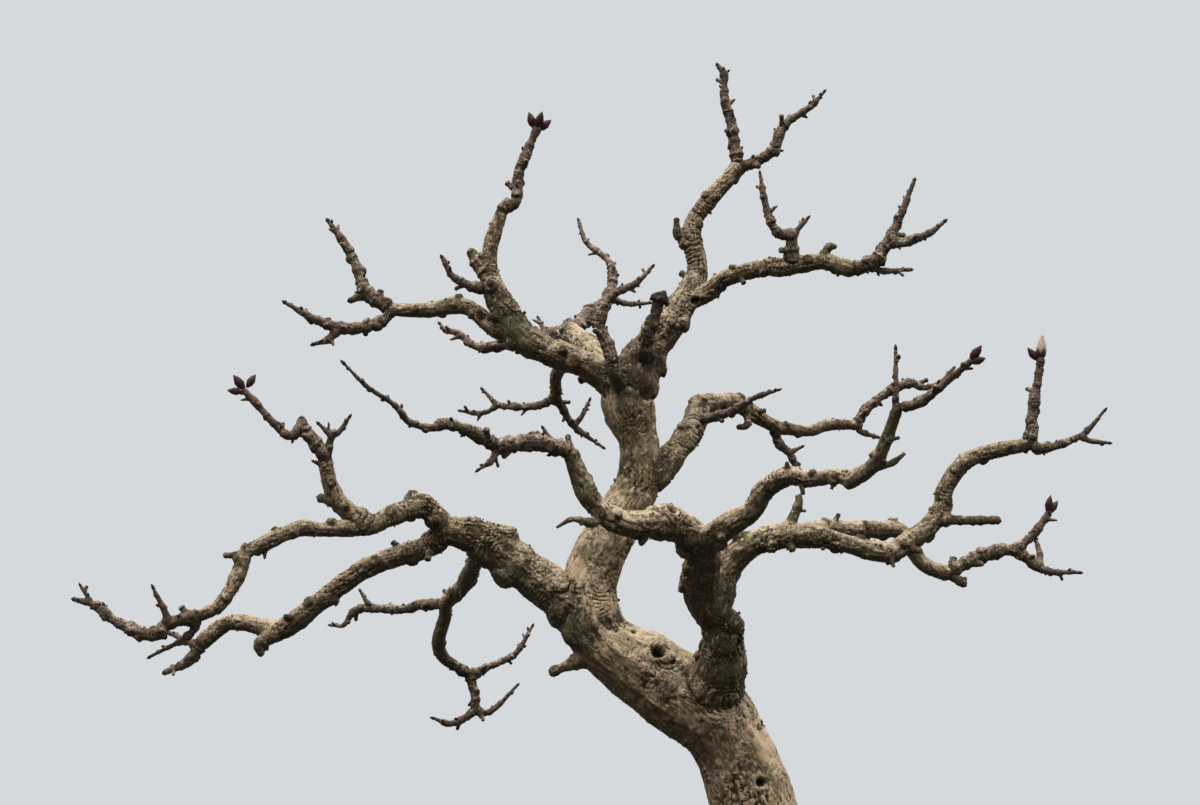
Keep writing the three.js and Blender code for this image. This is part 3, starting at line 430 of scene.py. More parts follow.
# How the skin is made, in millimetres
ROD_SPACING = {"trunk": 1.6, "bough": 1.4, "dead": 1.2, "twigs": 1}  # between places along a rod
END_REACH = 0.2  # a limb that leaves this near a carrier's end, in steps, goes on from it
LUMP_SPACING = 6.5
LUMP_SHIFT = 7.31  # keeps the lumps of one limb from repeating on the next
LUMPY = {"trunk": 0.015, "bough": 0.07, "twigs": 0.13}
NODE_SPACING = 6.5
NODE_SWELLING = 0.24
NODE_WIDTH = 0.13
COLLAR_SHARE = 0.32
COLLAR_REACH = 0.9
SUNK_ROOT = ((1.1, 0.7), (0.55, 0.9))  # how far back a limb that goes on is rooted, and how thick there
ROUND_DOME = ((0.35, 0.93), (0.65, 0.7), (0.85, 0.35))
SHORT_DOME = ((0.3, 0.8), (0.5, 0.4))
BLUNT_SPUR = ((0, 0.72), (0.3, 0.56), (0.55, 0.52), (0.78, 0.64), (0.93, 0.52), (1.03, 0.2))
POINTED_SPUR = ((0, 0.7), (0.3, 0.52), (0.6, 0.46), (0.85, 0.34), (1.03, 0.14))
SPUR_ROOT = 0.65
ROD_SHIFT = 53.7  # keeps the bark of one limb from repeating on the next
SKIN_REACH = 1.6  # how far out a rod's bark may lie, in its own radii, and a little more
SKIN_MARGIN = 2
AT_ONCE = 8000  # vertices that are compared with a rod at once
MOST_TRIANGLES = 175000
YOUNG_LENGTH = 19
HOLE_DEPTH = 1
LIP_HEIGHT = 0.22
BULGE_HEIGHT = 0.26
RIPPLE_SPACING = 2.1
RIPPLE_HEIGHT = 0.34
CREASE_WIDTH = 0.9
SHRINKAGE = 0.1  # what the softened corners took off
# Relief this deep gets the darkest painted shade
MARK_DEPTH = 0.6  # the depth of relief that shows darkest

# The stage, in metres
FLOOR_RADIUS = 1.6
FLOOR_DROP = 0.0002
LOOK_AT = (-0.0951, 0, 0.3392)
CAMERA_DISTANCE = 1.2
CAMERA_PITCH = math.radians(10)
SENSOR_WIDTH = 36
SKY_STOPS = (
    (0, (0.006, 0.006, 0.005)), (0.2, (0.04, 0.04, 0.038)), (0.45, (0.17, 0.17, 0.17)), (1, (1, 1, 1)),
)
SKY_STRENGTH = 3.9
LAMP_PLACE = (-0.5, -0.4, 2.1)
LAMP_SIZE = 1.2
LAMP_POWER = 15
CUT_THRESHOLD = 1e-7  # keeps the cut at the foot exactly level

# Buds: shares of their own length or width; the profile is (how far up, width)
BUD_PROFILE = (
    (0, 0.3), (0.12, 0.56), (0.3, 0.92), (0.45, 1), (0.6, 0.92), (0.78, 0.58), (0.92, 0.22), (1, 0.02),
)
SCALE_ROWS = 3.2
SCALE_STEP = 0.14
SCALE_POINTS = 0.45
SCALED_SHARE = 0.97
SMALL_BUD_WIDTH = 0.72
SMALL_BUD_LENGTHENED = 1.2
SMALL_BUD_SUNK = 0.25
TIP_BUD_LENGTH = (2.8, 4.2)
TIP_BUD_WIDTH = (1.15, 0.42)  # as shares of the twig's thickness and of the bud's length
TIP_BUD_SUNK = 0.3
LARGE_BUD_SHIFT = 0.1
LARGE_BUDS_APART = 2.2
LARGE_BUD_TURN = 40
DOWNY_WIDTH = 0.8
CUPS = 5
CUP_LEAN = 24
CUP_TURN = 30
CUP_SIZE = (0.62, 0.4, 0.52)
HAIRS = 260
HAIR_PLACE = (0.35, 0.98)
HAIR_LEAN = (1.2, 2.6)
HAIR_LENGTH = (0.7, 1.6)
HAIR_WIDTH = 0.09

# Flakes of bark, in millimetres: their number on each limb is by its length and thickness
FLAKE_SIZE = (1.1, 3)
FLAKES_PER_SQUARE = {"trunk": 0.034, "bough": 0.05}
FLAKED_THICKNESS = 5.5
FLAKED_HEIGHT = 2
FLAKED_SHARE = 0.25  # of those places away from any flaky mark
FLAKE_GROWTH = 0.4
FLAKE_LIFT = (4, 26)
FLAKE_SUNK = 0.1
FLAKE_THICKNESS = 0.16

# The dead stub, and the shards of wood in a broken end: turn, lean off the limb, and the length and
# thickness as shares of the limb's own thickness there
BARKED_SHARE = 0.55  # how far up it still has its bark
THIN_RADIUS = (1.8, 4.2)  # limbs as thin as these are stained
THIN_STAIN = 1.5
FORK_STAIN = 1.3
SHARDS = (
    (20, 16, 0.6, 0.71), (110, 30, 0.49, 0.63), (190, 22, 0.46, 0.66), (265, 30, 0.54, 0.63),
    (330, 8, 0.71, 0.43),
)
NARROWED = 0.3  # how far the shards of a bough's stub spread against those of the dead stub
SHARD_SUNK = 0.28
SHARD_APART = 0.26
LEAST_BROKEN = 2.5


def from_hex(code):
    """An sRGB hex colour as the linear red, green and blue that Blender wants."""
    shares = [int(code[i : i + 2], 16) / 255 for i in (0, 2, 4)]
    return tuple(c / 12.92 if c <= 0.04045 else ((c + 0.055) / 1.055) ** 2.4 for c in shares)


# Growth: the same lines and spurs as the solids have


def seeded_random(name):
    """A repeatable run of random shares, seeded by a limb's name."""
    seed = FIRST_SEED
    for letter in name:
        seed = (seed * LETTER_STEP + ord(letter)) % RANDOM_RANGE

    def share():
        nonlocal seed
        seed = (seed * RANDOM_STEP + RANDOM_SHIFT) % RANDOM_RANGE
        return seed / RANDOM_RANGE

    return share


def between(ends, share):
    return ends[0] + (ends[1] - ends[0]) * share


def direction(heading, lean):
    heading, lean = math.radians(heading), math.radians(lean)
    level = math.cos(lean)
    return np.array([math.cos(heading) * level, math.sin(lean), math.sin(heading) * level])


def unit(way):
    return way / np.linalg.norm(way)


def turned(way, axis, degrees):
    return np.array(Quaternion(Vector(axis), math.radians(degrees)) @ Vector(way))


def aside(way):
    """A way square to the given one, level where it can be."""
    side = np.cross((0, 1, 0), way)
    if np.linalg.norm(side) < 0.1:
        side = np.cross((1, 0, 0), way)
    return unit(side)


def smooth_through(points):
    """Centripetal curve through the points: four coefficients for each stretch between two of them."""
    ends = np.vstack([2 * points[0] - points[1], points, 2 * points[-1] - points[-2]])
    gaps = np.sqrt(np.linalg.norm(np.diff(ends, axis=0), axis=1))
    stretches = []
    for i in range(len(points) - 1):
        x0, x1, x2, x3 = ends[i : i + 4]
        d0, d1, d2 = gaps[i : i + 3]
        t1 = ((x1 - x0) / d0 - (x2 - x0) / (d0 + d1) + (x2 - x1) / d1) * d1
        t2 = ((x2 - x1) / d1 - (x3 - x1) / (d1 + d2) + (x3 - x2) / d2) * d1
        stretches.append((x1, t1, 3 * (x2 - x1) - 2 * t1 - t2, 2 * (x1 - x2) + t1 + t2))
    return np.array(stretches)


class Line:
    """A limb's own line: a smooth curve through the ends of its growth steps, and its thickness there."""

    def __init__(self, start, grown, carrier):
        points, thick = [np.array(start, float)], [grown["thick"]]
        for length, heading, lean, thickness in grown["growth"]:
            points.append(points[-1] + length * direction(heading, lean))
            thick.append(thickness)
        if len(points) == 2:
            points.insert(1, (points[0] + points[1]) / 2)
            thick.insert(1, (thick[0] + thick[1]) / 2)
        self.grown, self.carrier = grown, carrier
        self.points, self.widths = np.array(points), thick
        self.count = len(points) - 1
        self.steps = len(grown["growth"])
        self.scale = self.count / self.steps
        self.stretches = smooth_through(self.points)

    def place(self, step):
        whole = min(max(step * self.scale, 0), self.count)
        i = min(int(whole), self.count - 1)
        return i, whole - i

    def at(self, step):
        i, t = self.place(step)
        return np.array([1, t, t * t, t**3]) @ self.stretches[i]

    def tangent(self, step):
        i, t = self.place(step)
        return unit(np.array([0, 1, 2 * t, 3 * t * t]) @ self.stretches[i])

    def thick(self, step):
        i, t = self.place(step)
        t = t * t * (3 - 2 * t)
        return self.widths[i] + (self.widths[i + 1] - self.widths[i]) * t

    def length(self, i):
        return np.linalg.norm(self.points[i + 1] - self.points[i])

    def is_fork(self):
        return self.grown["kind"] is None

    def continues(self):
        """True where a limb goes on from the end of the one that carries it."""
        return self.carrier is not None and self.grown["at"] > self.carrier.steps - END_REACH


def grow_forks(line, own):
    for side in line.grown["forks"]:
        own.append(Line(line.at(side["at"]), side, line))
        grow_forks(own[-1], own)


def grow_lines():
    """Every limb's line, followed by those of its forks."""
    lines = {}
    for name, grown in LIMBS.items():
        carrier = lines[grown["on"]][0] if grown["on"] else None
        foot = -FOOT_DEPTH * direction(grown["growth"][0][1], 0)
        lines[name] = [Line(carrier.at(grown["at"]) if carrier else foot, grown, carrier)]
        grow_forks(lines[name][0], lines[name])
    return lines


LINES = grow_lines()


def sampled_places():
    """Where every limb is, for keeping spurs and buds away from the others."""
    names, points, radii = [], [], []
    for name, own in LINES.items():
        for line in own:
            for i in range(PLACES_PER_STEP * line.steps + 1):
                step = i / PLACES_PER_STEP
                names.append(name)
                points.append(line.at(step))
                radii.append(line.thick(step) / 2)
    return np.array(names), np.array(points), np.array(radii)


PLACES = sampled_places()


def has_room(point, name):
    names, points, radii = PLACES
    others = names != name
    gaps = np.linalg.norm(points[others] - point, axis=1) - radii[others]
    return gaps.min() > SHOOT_ROOM


class Shoot:
    """A short straight shoot off a line: its root on the line's middle, its way, reach and thickness."""

    def __init__(self, root, way, out, thick, surface):
        self.root, self.way, self.out, self.thick, self.surface = root, way, out, thick, surface

    def tip(self):
        return self.root + self.way * self.out


def shoots_of(name, line, random, sort):
    """The shoots of one line by the seeded rule."""
    spacing, leans, reaches, share, least = SHOOTS[sort][LIMBS[name]["kind"]]
    shoots = []
    turn = 360 * random()
    for i in range(line.count):
        wanted = int(line.length(i) / spacing + random())
        for k in range(wanted):
            step = (i + (k + between(SHOOT_PLACE, random())) / wanted) / line.scale
            turn += SHOOT_TURN + between(SHOOT_TURN_SCATTER, random())
            lean = math.radians(between(leans, random()))
            reach = between(reaches, random())
            thick, tangent = line.thick(step), line.tangent(step)
            side = turned(unit(np.cross((0, 1, 0), tangent)), tangent, turn)
            way = math.cos(lean) * tangent + math.sin(lean) * side
            surface = thick / 2 / math.sin(lean)
            shoot = Shoot(line.at(step), way, surface + reach, max(least, share * thick), surface)
            if shoot.tip()[2] > 0 and has_room(shoot.tip(), name):
                shoots.append(shoot)
    return shoots


# Rods: the lines and shoots sampled closely, which the skin is made from and the bark follows


class Rod:
    """Places along a limb with their radii, lengths along it, directions and a frame that doesn't twist."""

    def __init__(self, points, radii):
        self.points, self.radii = np.array(points), np.array(radii)
        pieces = np.linalg.norm(np.diff(self.points, axis=0), axis=1)
        self.along = np.concatenate([[0], np.cumsum(pieces)])
        tangents = np.gradient(self.points, axis=0)
        self.tangents = tangents / np.linalg.norm(tangents, axis=1)[:, None]
        sides = [aside(self.tangents[0])]
        for tangent in self.tangents[1:]:
            sides.append(unit(sides[-1] - tangent * (sides[-1] @ tangent)))
        self.sides = np.array(sides)
        self.others = np.cross(self.sides, self.tangents)

    def near(self, points, margin):
        """The points' numbers that may lie within the margin of the rod, a part at a time."""
        low, high = self.points.min(0) - margin, self.points.max(0) + margin
        near = np.nonzero(((points > low) & (points < high)).all(1))[0]
        return [part for part in np.array_split(near, len(near) // AT_ONCE + 1) if len(part)]


def rod_of(line, spacing, number=0, rounded=False, lumpy=0.0, nodes=False):
    """A limb's rod, with its lumps, the collar at its root and its rounded end."""
    steps = [0]
    for i in range(line.count):
        parts = max(2, math.ceil(line.length(i) / spacing))
        steps += [(i + (k + 1) / parts) / line.scale for k in range(parts)]
    points = np.array([line.at(step) for step in steps])
    radii = np.array([line.thick(step) / 2 for step in steps])
    gone = np.concatenate([[0], np.cumsum(np.linalg.norm(np.diff(points, axis=0), axis=1))])
    waves = np.stack([gone / LUMP_SPACING, np.full(len(gone), number * LUMP_SHIFT), gone * 0], axis=1)
    radii = radii * (1 + lumpy * LATTICE.smooth(waves))
    if nodes:
        away = (waves[:, 0] * LUMP_SPACING / NODE_SPACING + 0.5 * LATTICE.smooth(waves + 40)) % 1 - 0.5
        radii = radii * (1 + NODE_SWELLING * np.exp(-((away / NODE_WIDTH) ** 2)))
    first, last = line.tangent(0), line.tangent(line.steps)
    if line.continues():
        back = [points[0] - first * radii[0] * out for out, _ in SUNK_ROOT]
        points = np.vstack([back, points])
        radii = np.concatenate([[radii[0] * share for _, share in SUNK_ROOT], radii])
    elif line.carrier is not None:
        surface = line.carrier.thick(line.grown["at"]) / 2
        beyond = np.maximum(0, gone - surface) / (COLLAR_REACH * radii[0])
        radii = radii * (1 + COLLAR_SHARE * np.exp(-(beyond**2)))
    dome = ROUND_DOME if rounded else SHORT_DOME
    ahead = [points[-1] + last * radii[-1] * out for out, _ in dome]
    radii = np.concatenate([radii, [radii[-1] * share for _, share in dome]])
    return Rod(np.vstack([points, ahead]), radii)


def rod_of_shoot(shoot, blunt):
    """A shoot's rod: a root inside the limb, a collar where it leaves, and a knobbed or pointed tip."""
    reach = shoot.out - shoot.surface
    profile = BLUNT_SPUR if blunt else POINTED_SPUR
    outs = [0] + [shoot.surface + reach * out for out, _ in profile]
    points = [shoot.root + shoot.way * out for out in outs]
    radii = [SPUR_ROOT * shoot.thick] + [shoot.thick * share for _, share in profile]
    return Rod(points, radii)


def shoot_rods(names, pointed_every):
    """The rods of the spurs and knobs on these limbs; every so many spurs one is pointed."""
    rods = []
    for sort, suffix in (("spurs", ""), ("knobs", "_knobs")):
        for name in names:
            random = seeded_random(name + suffix)
            own = [shoot for line in LINES[name] for shoot in shoots_of(name, line, random, sort)]
            for k, shoot in enumerate(own):
                rods.append(rod_of_shoot(shoot, sort == "knobs" or (k + 1) % pointed_every != 0))
    return rods


def broken_end(line, spread=1):
    """Shards of wood in the end of a limb that has broken off."""
    top, way, size = line.at(line.steps), line.tangent(line.steps), line.thick(line.steps)
    shards = []
    for turn, lean, length, thick in SHARDS if size > LEAST_BROKEN else ():
        side = turned(unit(np.cross((0, 1, 0), way)), way, turn)
        shard = unit(way + spread * math.tan(math.radians(lean)) * side)
        start = top + size * (spread * SHARD_APART * side - SHARD_SUNK * way)
        shards.append(rod_of_shoot(Shoot(start, shard, size * length, size * thick, 1), False))
    return shards


# Bark: seeded noise and cells, read in the world's places or along the limbs. A number that is added to
# the places only shifts a pattern, so that no two patterns coincide.


class Lattice:
    """Random numbers on a repeating block of points, read as smooth noise or as scattered cells."""

    def __init__(self, seed, size=32):
        random = np.random.default_rng(seed)
        self.size = size
        self.values = random.random((size,) * 3, dtype=np.float32) * 2 - 1
        self.places = random.random((size, size, size, 3), dtype=np.float32)

    def smooth(self, points):
        low = np.floor(points).astype(np.int64)
        part = (points - low).astype(np.float32)
        part = part * part * (3 - 2 * part)
        total = np.zeros(len(points), np.float32)
        for corner in itertools.product((0, 1), repeat=3):
            weight = np.prod(np.where(corner, part, 1 - part), axis=1)
            i, j, k = ((low + corner) % self.size).T
            total += weight * self.values[i, j, k]
        return total

    def cells(self, points):
        """The distances to the nearest two scattered points, and the nearest one's own number."""
        low = np.floor(points).astype(np.int64)
        first = np.full(len(points), 9, np.float32)
        second, own = first.copy(), np.zeros(len(points), np.float32)
        for offset in itertools.product((-1, 0, 1), repeat=3):
            cell = low + offset
            i, j, k = (cell % self.size).T
            gap = np.linalg.norm(cell + self.places[i, j, k] - points, axis=1)
            second = np.minimum(second, np.maximum(first, gap))
            own = np.where(gap < first, self.values[i, j, k], own)
            first = np.minimum(first, gap)
        return first, second, own


LATTICE = Lattice(seed=11)


def rise(low, high, value):
    """From 0 below low to 1 above high, smoothly."""
    share = np.clip((value - low) / (high - low), 0, 1)
    return share * share * (3 - 2 * share)


def bump(gap, width):
    """A smooth bump: 1 where the gap is nothing, and 0 some widths away."""
    return np.exp(-((gap / width) ** 2))


def vectors(mesh, key="co"):
    """The places or the normals of a mesh's vertices, a row for each."""
    flat = np.empty(len(mesh.vertices) * 3, np.float32)
    mesh.vertices.foreach_get(key, flat)
    return flat.reshape(-1, 3)


class Skin:
    """A mesh's vertices with their place on the limbs: the rod, how far along it, and where across."""

    def __init__(self, mesh, rods):
        count = len(mesh.vertices)
        self.place, self.normals = vectors(mesh) / MM, vectors(mesh, "normal")
        self.gap = np.full(count, np.inf, np.float32)
        self.radius, self.to_tip = np.ones(count, np.float32), np.zeros(count, np.float32)
        self.grain, self.rod = np.zeros((count, 3), np.float32), np.zeros(count, np.int32)
        for number, rod in enumerate(rods):
            for part in rod.near(self.place, SKIN_REACH * rod.radii.max() + SKIN_MARGIN):
                self.lay(part, rod, number)

    def lay(self, part, rod, number):
        place = self.place[part]
        away = ((place[:, None] - rod.points[None].astype(np.float32)) ** 2).sum(2)
        j = away.argmin(1)
        off = place - rod.points[j]
        past = (off * rod.tangents[j]).sum(1)
        gap = np.sqrt(away[np.arange(len(part)), j]) - rod.radii[j]
        closer = gap < self.gap[part]
        part, j, off, past = part[closer], j[closer], off[closer], past[closer]
        self.gap[part], self.rod[part], self.radius[part] = gap[closer], number, rod.radii[j]
        self.to_tip[part] = rod.along[-1] - rod.along[j] - past
        self.grain[part, 0] = (off * rod.sides[j]).sum(1)
        self.grain[part, 1] = (off * rod.others[j]).sum(1)
        self.grain[part, 2] = rod.along[j] + past + number * ROD_SHIFT


# The bark's patterns. Sizes are in millimetres, across the limb and along it, and a patch is the size of
# the parts in which a pattern shows, on the given share of the bark and wherever it is boosted.


def lumps(skin, size, height, shift=0.0):
    return height * LATTICE.smooth(skin.place / size + shift)


def fibres(skin, across, along, height):
    """Long ridges that run with the limb."""
    noise = LATTICE.smooth(skin.grain / (across, across, along) + 5.3)
    return height * (0.5 - np.abs(noise))


def creased(skin, across, along, height, shift=0.0):
    """Rounded plates with thin creases between them, longer along the limb than across it."""
    return height * (np.abs(LATTICE.smooth(skin.grain / (across, across, along) + shift)) - 0.25)


def rings(skin, spacing, depth, patch, share, sharp=0.62, boost=0):
    """Grooves round the limb, wandering a little, that fade in and out in patches."""
    phase = skin.grain[:, 2] / spacing + 1.1 * LATTICE.smooth(skin.grain / (2.6 * spacing))
    phase += 0.3 * LATTICE.smooth(skin.grain / spacing + 9.2)
    groove = rise(sharp, 1, 0.5 + 0.5 * np.cos(2 * np.pi * phase))
    groove *= rise(-0.8, 0, LATTICE.smooth(skin.grain / (4, 4, 1.3 * spacing) + 3.3))
    level = 0.5 - share
    shown = rise(level - 0.15, level + 0.25, LATTICE.smooth(skin.place / patch + 31.7))
    return -depth * groove * np.maximum(shown, 2 * boost)


def cracks(skin, across, along, depth, width, patch, share, boost=0):
    """Plates of bark at slightly different heights, with cracks between them, in patches."""
    first, second, own = LATTICE.cells(skin.grain / (across, across, along) + 2.7)
    level = 0.5 - share
    shown = rise(level - 0.1, level + 0.2, LATTICE.smooth(skin.place / patch + 12.9))
    shown = np.maximum(shown, 1.5 * boost)
    return depth * shown * (0.35 * own - (1 - rise(0, width, second - first)))


def pits(skin, apart, depth, size, share):
    first, _, own = LATTICE.cells(skin.place / apart + 8.1)
    return -depth * (1 - rise(0.3 * size, size, first)) * (own > 1 - 2 * share)


def peeled(skin, size, level, boost):
    """1 where the outer bark has come off and 0 where it is left, with a sharp edge between."""
    field = LATTICE.smooth(skin.grain / size + 17.3) + 0.5 * LATTICE.smooth(skin.grain / size * 2.9)
    return rise(level, level + 0.05, field + 0.35 * boost)


# Marks that the bark has in known places, by kind: the limb, the growth step along its line, the degrees
# round it from the side that faces the viewer, and the size

MARKS = {
    # Where a branch was lost, with a raised lip
    "hole": (
        ("trunk", 7.38, 32, 5.4), ("trunk", 7.75, 50, 2.4), ("trunk", 4.25, 17, 4.2),
        ("trunk", 5.6, 160, 4), ("bough_front_left", 2.13, 46, 4.2), ("bough_top_right", 0.9, -40, 4.4),
        ("bough_top_right", 1.9, 40, 3.4),
    ),
    # Knots that have healed over
    "bulge": (
        ("trunk", 7.5, 58, 9), ("bough_front_left", 2.13, 46, 7), ("bough_front", 2.98, 60, 6),
        ("trunk", 13.5, 85, 8), ("trunk", 14, 70, 7),
    ),
    # Wavy grain that flows round a knot
    "ripples": (
        ("trunk", 7.3, 36, 13), ("trunk", 6.1, 24, 17), ("trunk", 5.6, 160, 12),
        ("bough_front_left", 2.13, 46, 10),
    ),
    # Cracked plates, some of which have come off
    "flakes": (
        ("trunk", 4.2, -5, 17), ("trunk", 3.4, 50, 15), ("trunk", 5.1, 60, 8), ("trunk", 10.9, 70, 7),
        ("trunk", 7, -110, 13), ("trunk", 2.6, -130, 16), ("trunk", 10.5, 170, 12),
        ("bough_left", 1.1, 20, 9), ("bough_left", 2.9, 35, 15), ("bough_front", 2.1, 40, 8),
        ("bough_front", 2.98, 60, 13), ("bough_right_low", 2.2, 30, 10), ("bough_top_left", 3.6, 55, 12),
        ("bough_top_right", 1.24, 14, 10), ("bough_top_right", 1.8, 30, 9), ("bough_back", 1.5, 180, 11),
        ("bough_left_lower", 3.2, 30, 9), ("bough_left_lower", 0.6, 30, 10),
        ("bough_left_upper", 1.3, 20, 8), ("bough_right_low", 3.6, 40, 10),
        ("bough_top_right_side", 1.6, 40, 9),
    ),
    # Close rings where a limb bends or leaves another
    "wrinkles": (
        ("trunk", 13.3, 0, 9), ("trunk", 9.3, 40, 13), ("trunk", 12.4, 0, 5), ("trunk", 8.3, 170, 16),
        ("bough_left", 2.2, 0, 10), ("bough_left_lower", 1.6, 20, 12), ("bough_front", 3.2, -20, 12),
        ("bough_right", 2, 0, 11), ("bough_right_outer", 2.6, 0, 8), ("bough_top_right_upper", 1.5, 0, 16),
        ("bough_top_right_upper", 3.2, 0, 12), ("bough_top_right_side", 3.5, 0, 12),
        ("bough_left_upper", 2.6, 0, 12), ("bough_front_right", 4, 0, 10),
    ),
    # Dark bark: damp stains, and painted shadow at the top of the trunk and round the bases of the upper
    # boughs
    "stain": (
        ("trunk", 13, 0, 22), ("trunk", 12.6, -60, 16), ("trunk", 12.3, 60, 9), ("trunk", 14.2, 20, 16),
        ("bough_left", 0.8, -50, 14), ("bough_right_low", 1.5, -60, 13),
        ("bough_front_left", 1.2, -60, 12), ("bough_top_left", 1, -60, 13), ("trunk", 10.9, 95, 14),
        ("trunk", 8.8, 80, 14), ("trunk", 6.4, -75, 24), ("trunk", 6.7, 35, 13), ("trunk", 4.2, -70, 18),
        ("trunk", 4.9, -30, 13), ("trunk", 3, 130, 26), ("trunk", 8, -150, 24), ("trunk", 11, 180, 22),
        ("bough_front", 2.6, -30, 22), ("bough_front", 4, 0, 20), ("bough_top_right", 0.6, -20, 17),
        ("bough_top_right", 1.3, 60, 12), ("bough_top_right", 0.45, 30, 14),
        ("bough_top_left", 2.2, 60, 18), ("bough_top_left", 3.8, 0, 15), ("bough_left", 2.9, -40, 18),
        ("bough_left_upper", 2.35, 80, 8), ("bough_top_left", 3, -20, 16), ("bough_right", 1.2, 60, 14),
    ),
    # Pale dry bark, and painted light on the brighter right front of the trunk and some boughs
    "bleached_and_lit": (
        ("trunk", 8.1, 60, 17), ("trunk", 8.6, 40, 14), ("trunk", 5.3, 68, 17), ("trunk", 4.6, 60, 15),
        ("trunk", 9.9, -45, 12), ("trunk", 3.7, 35, 13), ("trunk", 11.3, 60, 9),
        ("bough_front_left", 4, 60, 14), ("bough_right_low", 2, 60, 12), ("bough_top_left", 1, 60, 9),
    ),
}

# The solid trunk's broad swellings and hollows: growth step, turn, width and height
SWELLINGS = (
    (7.4, 30, 11, 1.6), (6.5, -60, 13, 1.4), (6, 10, 12, 1.2), (8.6, -50, 12, 1.2), (8.1, 5, 10, -1),
    (4.4, -15, 13, -1.3), (4.5, 45, 13, 1.2), (3.6, -70, 14, 1.4), (2.9, 15, 14, 1.2),
    (2.6, -45, 12, -1.2), (9.4, 40, 9, 1), (10.6, -30, 10, 0.9), (11.6, 50, 9, -0.8),
    (7.6, 150, 14, 1.5), (6, 130, 12, -1.3), (5, 180, 14, 1.4), (3.6, 130, 14, -1.3),
    (3, -120, 15, 1.4), (6.6, -130, 13, 1.3), (8.4, -150, 12, -1.1), (10.2, 160, 11, 1),
    (12, -140, 9, 0.9),
)


def outward(name, step, turn):
    """The way out of a limb: turn is degrees round it from the side that faces the viewer."""
    tangent = LINES[name][0].tangent(step)
    viewer = np.array([0, -1, 0])
    return turned(unit(viewer - tangent * (viewer @ tangent)), tangent, turn)


def on_surface(name, step, turn):
    line = LINES[name][0]
    return line.at(step) + line.thick(step) / 2 * outward(name, step, turn)


def gaps_to(points, kind):
    """How far the points are from each mark of a kind, with the mark's size."""
    for name, step, turn, size in MARKS[kind]:
        yield np.linalg.norm(points - on_surface(name, step, turn), axis=1), size


def near_marks(points, kind):
    """How strongly each point lies in the marks of a kind: 1 in one mark, and more where some overlap."""
    share = np.zeros(len(points), np.float32)
    for gap, size in gaps_to(points, kind):
        share += 1 - rise(0.45 * size, size, gap)
    return share


def ripples(skin):
    """Wavy grain that flows round a knot."""
    height = np.zeros(len(skin.place), np.float32)
    for gap, size in gaps_to(skin.place, "ripples"):
        wave = np.cos(2 * np.pi * (gap / RIPPLE_SPACING + 0.8 * LATTICE.smooth(skin.place / 5 + 2)))
        height += RIPPLE_HEIGHT * wave * (1 - rise(0.5 * size, size, gap)) * rise(1, 4, gap)
    return height


def knots(skin):
    """The height of bulges, and of holes with their lips, and how far each point is in and near a hole."""
    height, inside, near = np.zeros((3, len(skin.place)), np.float32)
    for kind in ("hole", "bulge"):
        for name, step, turn, size in MARKS[kind]:
            away, out = skin.place - on_surface(name, step, turn), outward(name, step, turn)
            away = (away - 0.7 * np.outer(away @ out, out)) * (1, 1, 1.35)
            gap = np.linalg.norm(away, axis=1) * (1 + 0.22 * LATTICE.smooth(skin.place / 3.3))
            if kind == "bulge":
                height += BULGE_HEIGHT * size * bump(gap, size)
                continue
            deep = 1 - rise(0.25 * size, 0.75 * size, gap)
            lip = 0.6 + 0.5 * LATTICE.smooth(skin.place / size + 7.7)
            height += LIP_HEIGHT * size * lip * bump(gap - 1.1 * size, 0.32 * size)
            height -= HOLE_DEPTH * size * deep
            inside = np.maximum(inside, deep)
            near = np.maximum(near, 1 - rise(1.2 * size, 2 * size, gap))
    return height, inside, near


def crease(points, rods):
    """1 on the line where these points meet the rods, and 0 a few millimetres away."""
    nearest = np.full(len(points), 99, np.float32)
    for rod in rods:
        for part in rod.near(points, rod.radii.max() + 3 * CREASE_WIDTH):
            gaps = np.linalg.norm(points[part][:, None] - rod.points[None], axis=2) - rod.radii
            nearest[part] = np.minimum(nearest[part], gaps.min(1))
    return bump(nearest, CREASE_WIDTH)


# Relief of the old bark, by kind of limb: each pattern's numbers, in the order that its function takes
# them. The recess is how far the bark is down where it has peeled, how rough it is there, and how much
# painted shade it gets; ringed is how much calmer and more ringed the bark is where it is wrinkled; crease
# is how deep the crease is where the limb meets others, which also gets painted shade; full_radius is
# the radius of limb from which the relief has its full height.
OLD_BARK = {
    "trunk": {
        "lumps": ((9, 0.28, 3.1), (4.2, 0.12, 6.2)), "peeled": (7, 0.72), "recess": (0.6, 1, 0.2),
        "fibres": ((1.6, 7, 0.36), (0.9, 4, 0.16)), "cracks": (2.6, 4.4, 0.5, 0.2, 9, 0.2),
        "pits": (4.5, 0.6, 0.25, 0.12), "creased": ((2.2, 4.6, 0.42, 4.4), (1.3, 2.2, 0.26, 9.7)),
        "rings": (2.2, 0.3, 15, 0.2), "ringed": (1, 1), "crease": 0.4, "full_radius": 0.1,
    },
    "bough": {
        "lumps": ((9, 0.5), (4.2, 0.26, 3.1)), "peeled": (6, 0.74), "recess": (0.35, 0, 0.2857),
        "fibres": ((1.3, 5, 0.3),), "cracks": (2.4, 3.6, 0.36, 0.2, 9, 0.3),
        "pits": (3.8, 0.5, 0.25, 0.15), "creased": ((1.9, 3.4, 0.45, 4.4), (1.1, 1.7, 0.28, 9.7)),
        "rings": (2.4, 0.32, 12, 0.32), "ringed": (0.4, 0.8), "crease": 0.3, "full_radius": 5.5,
    },
}


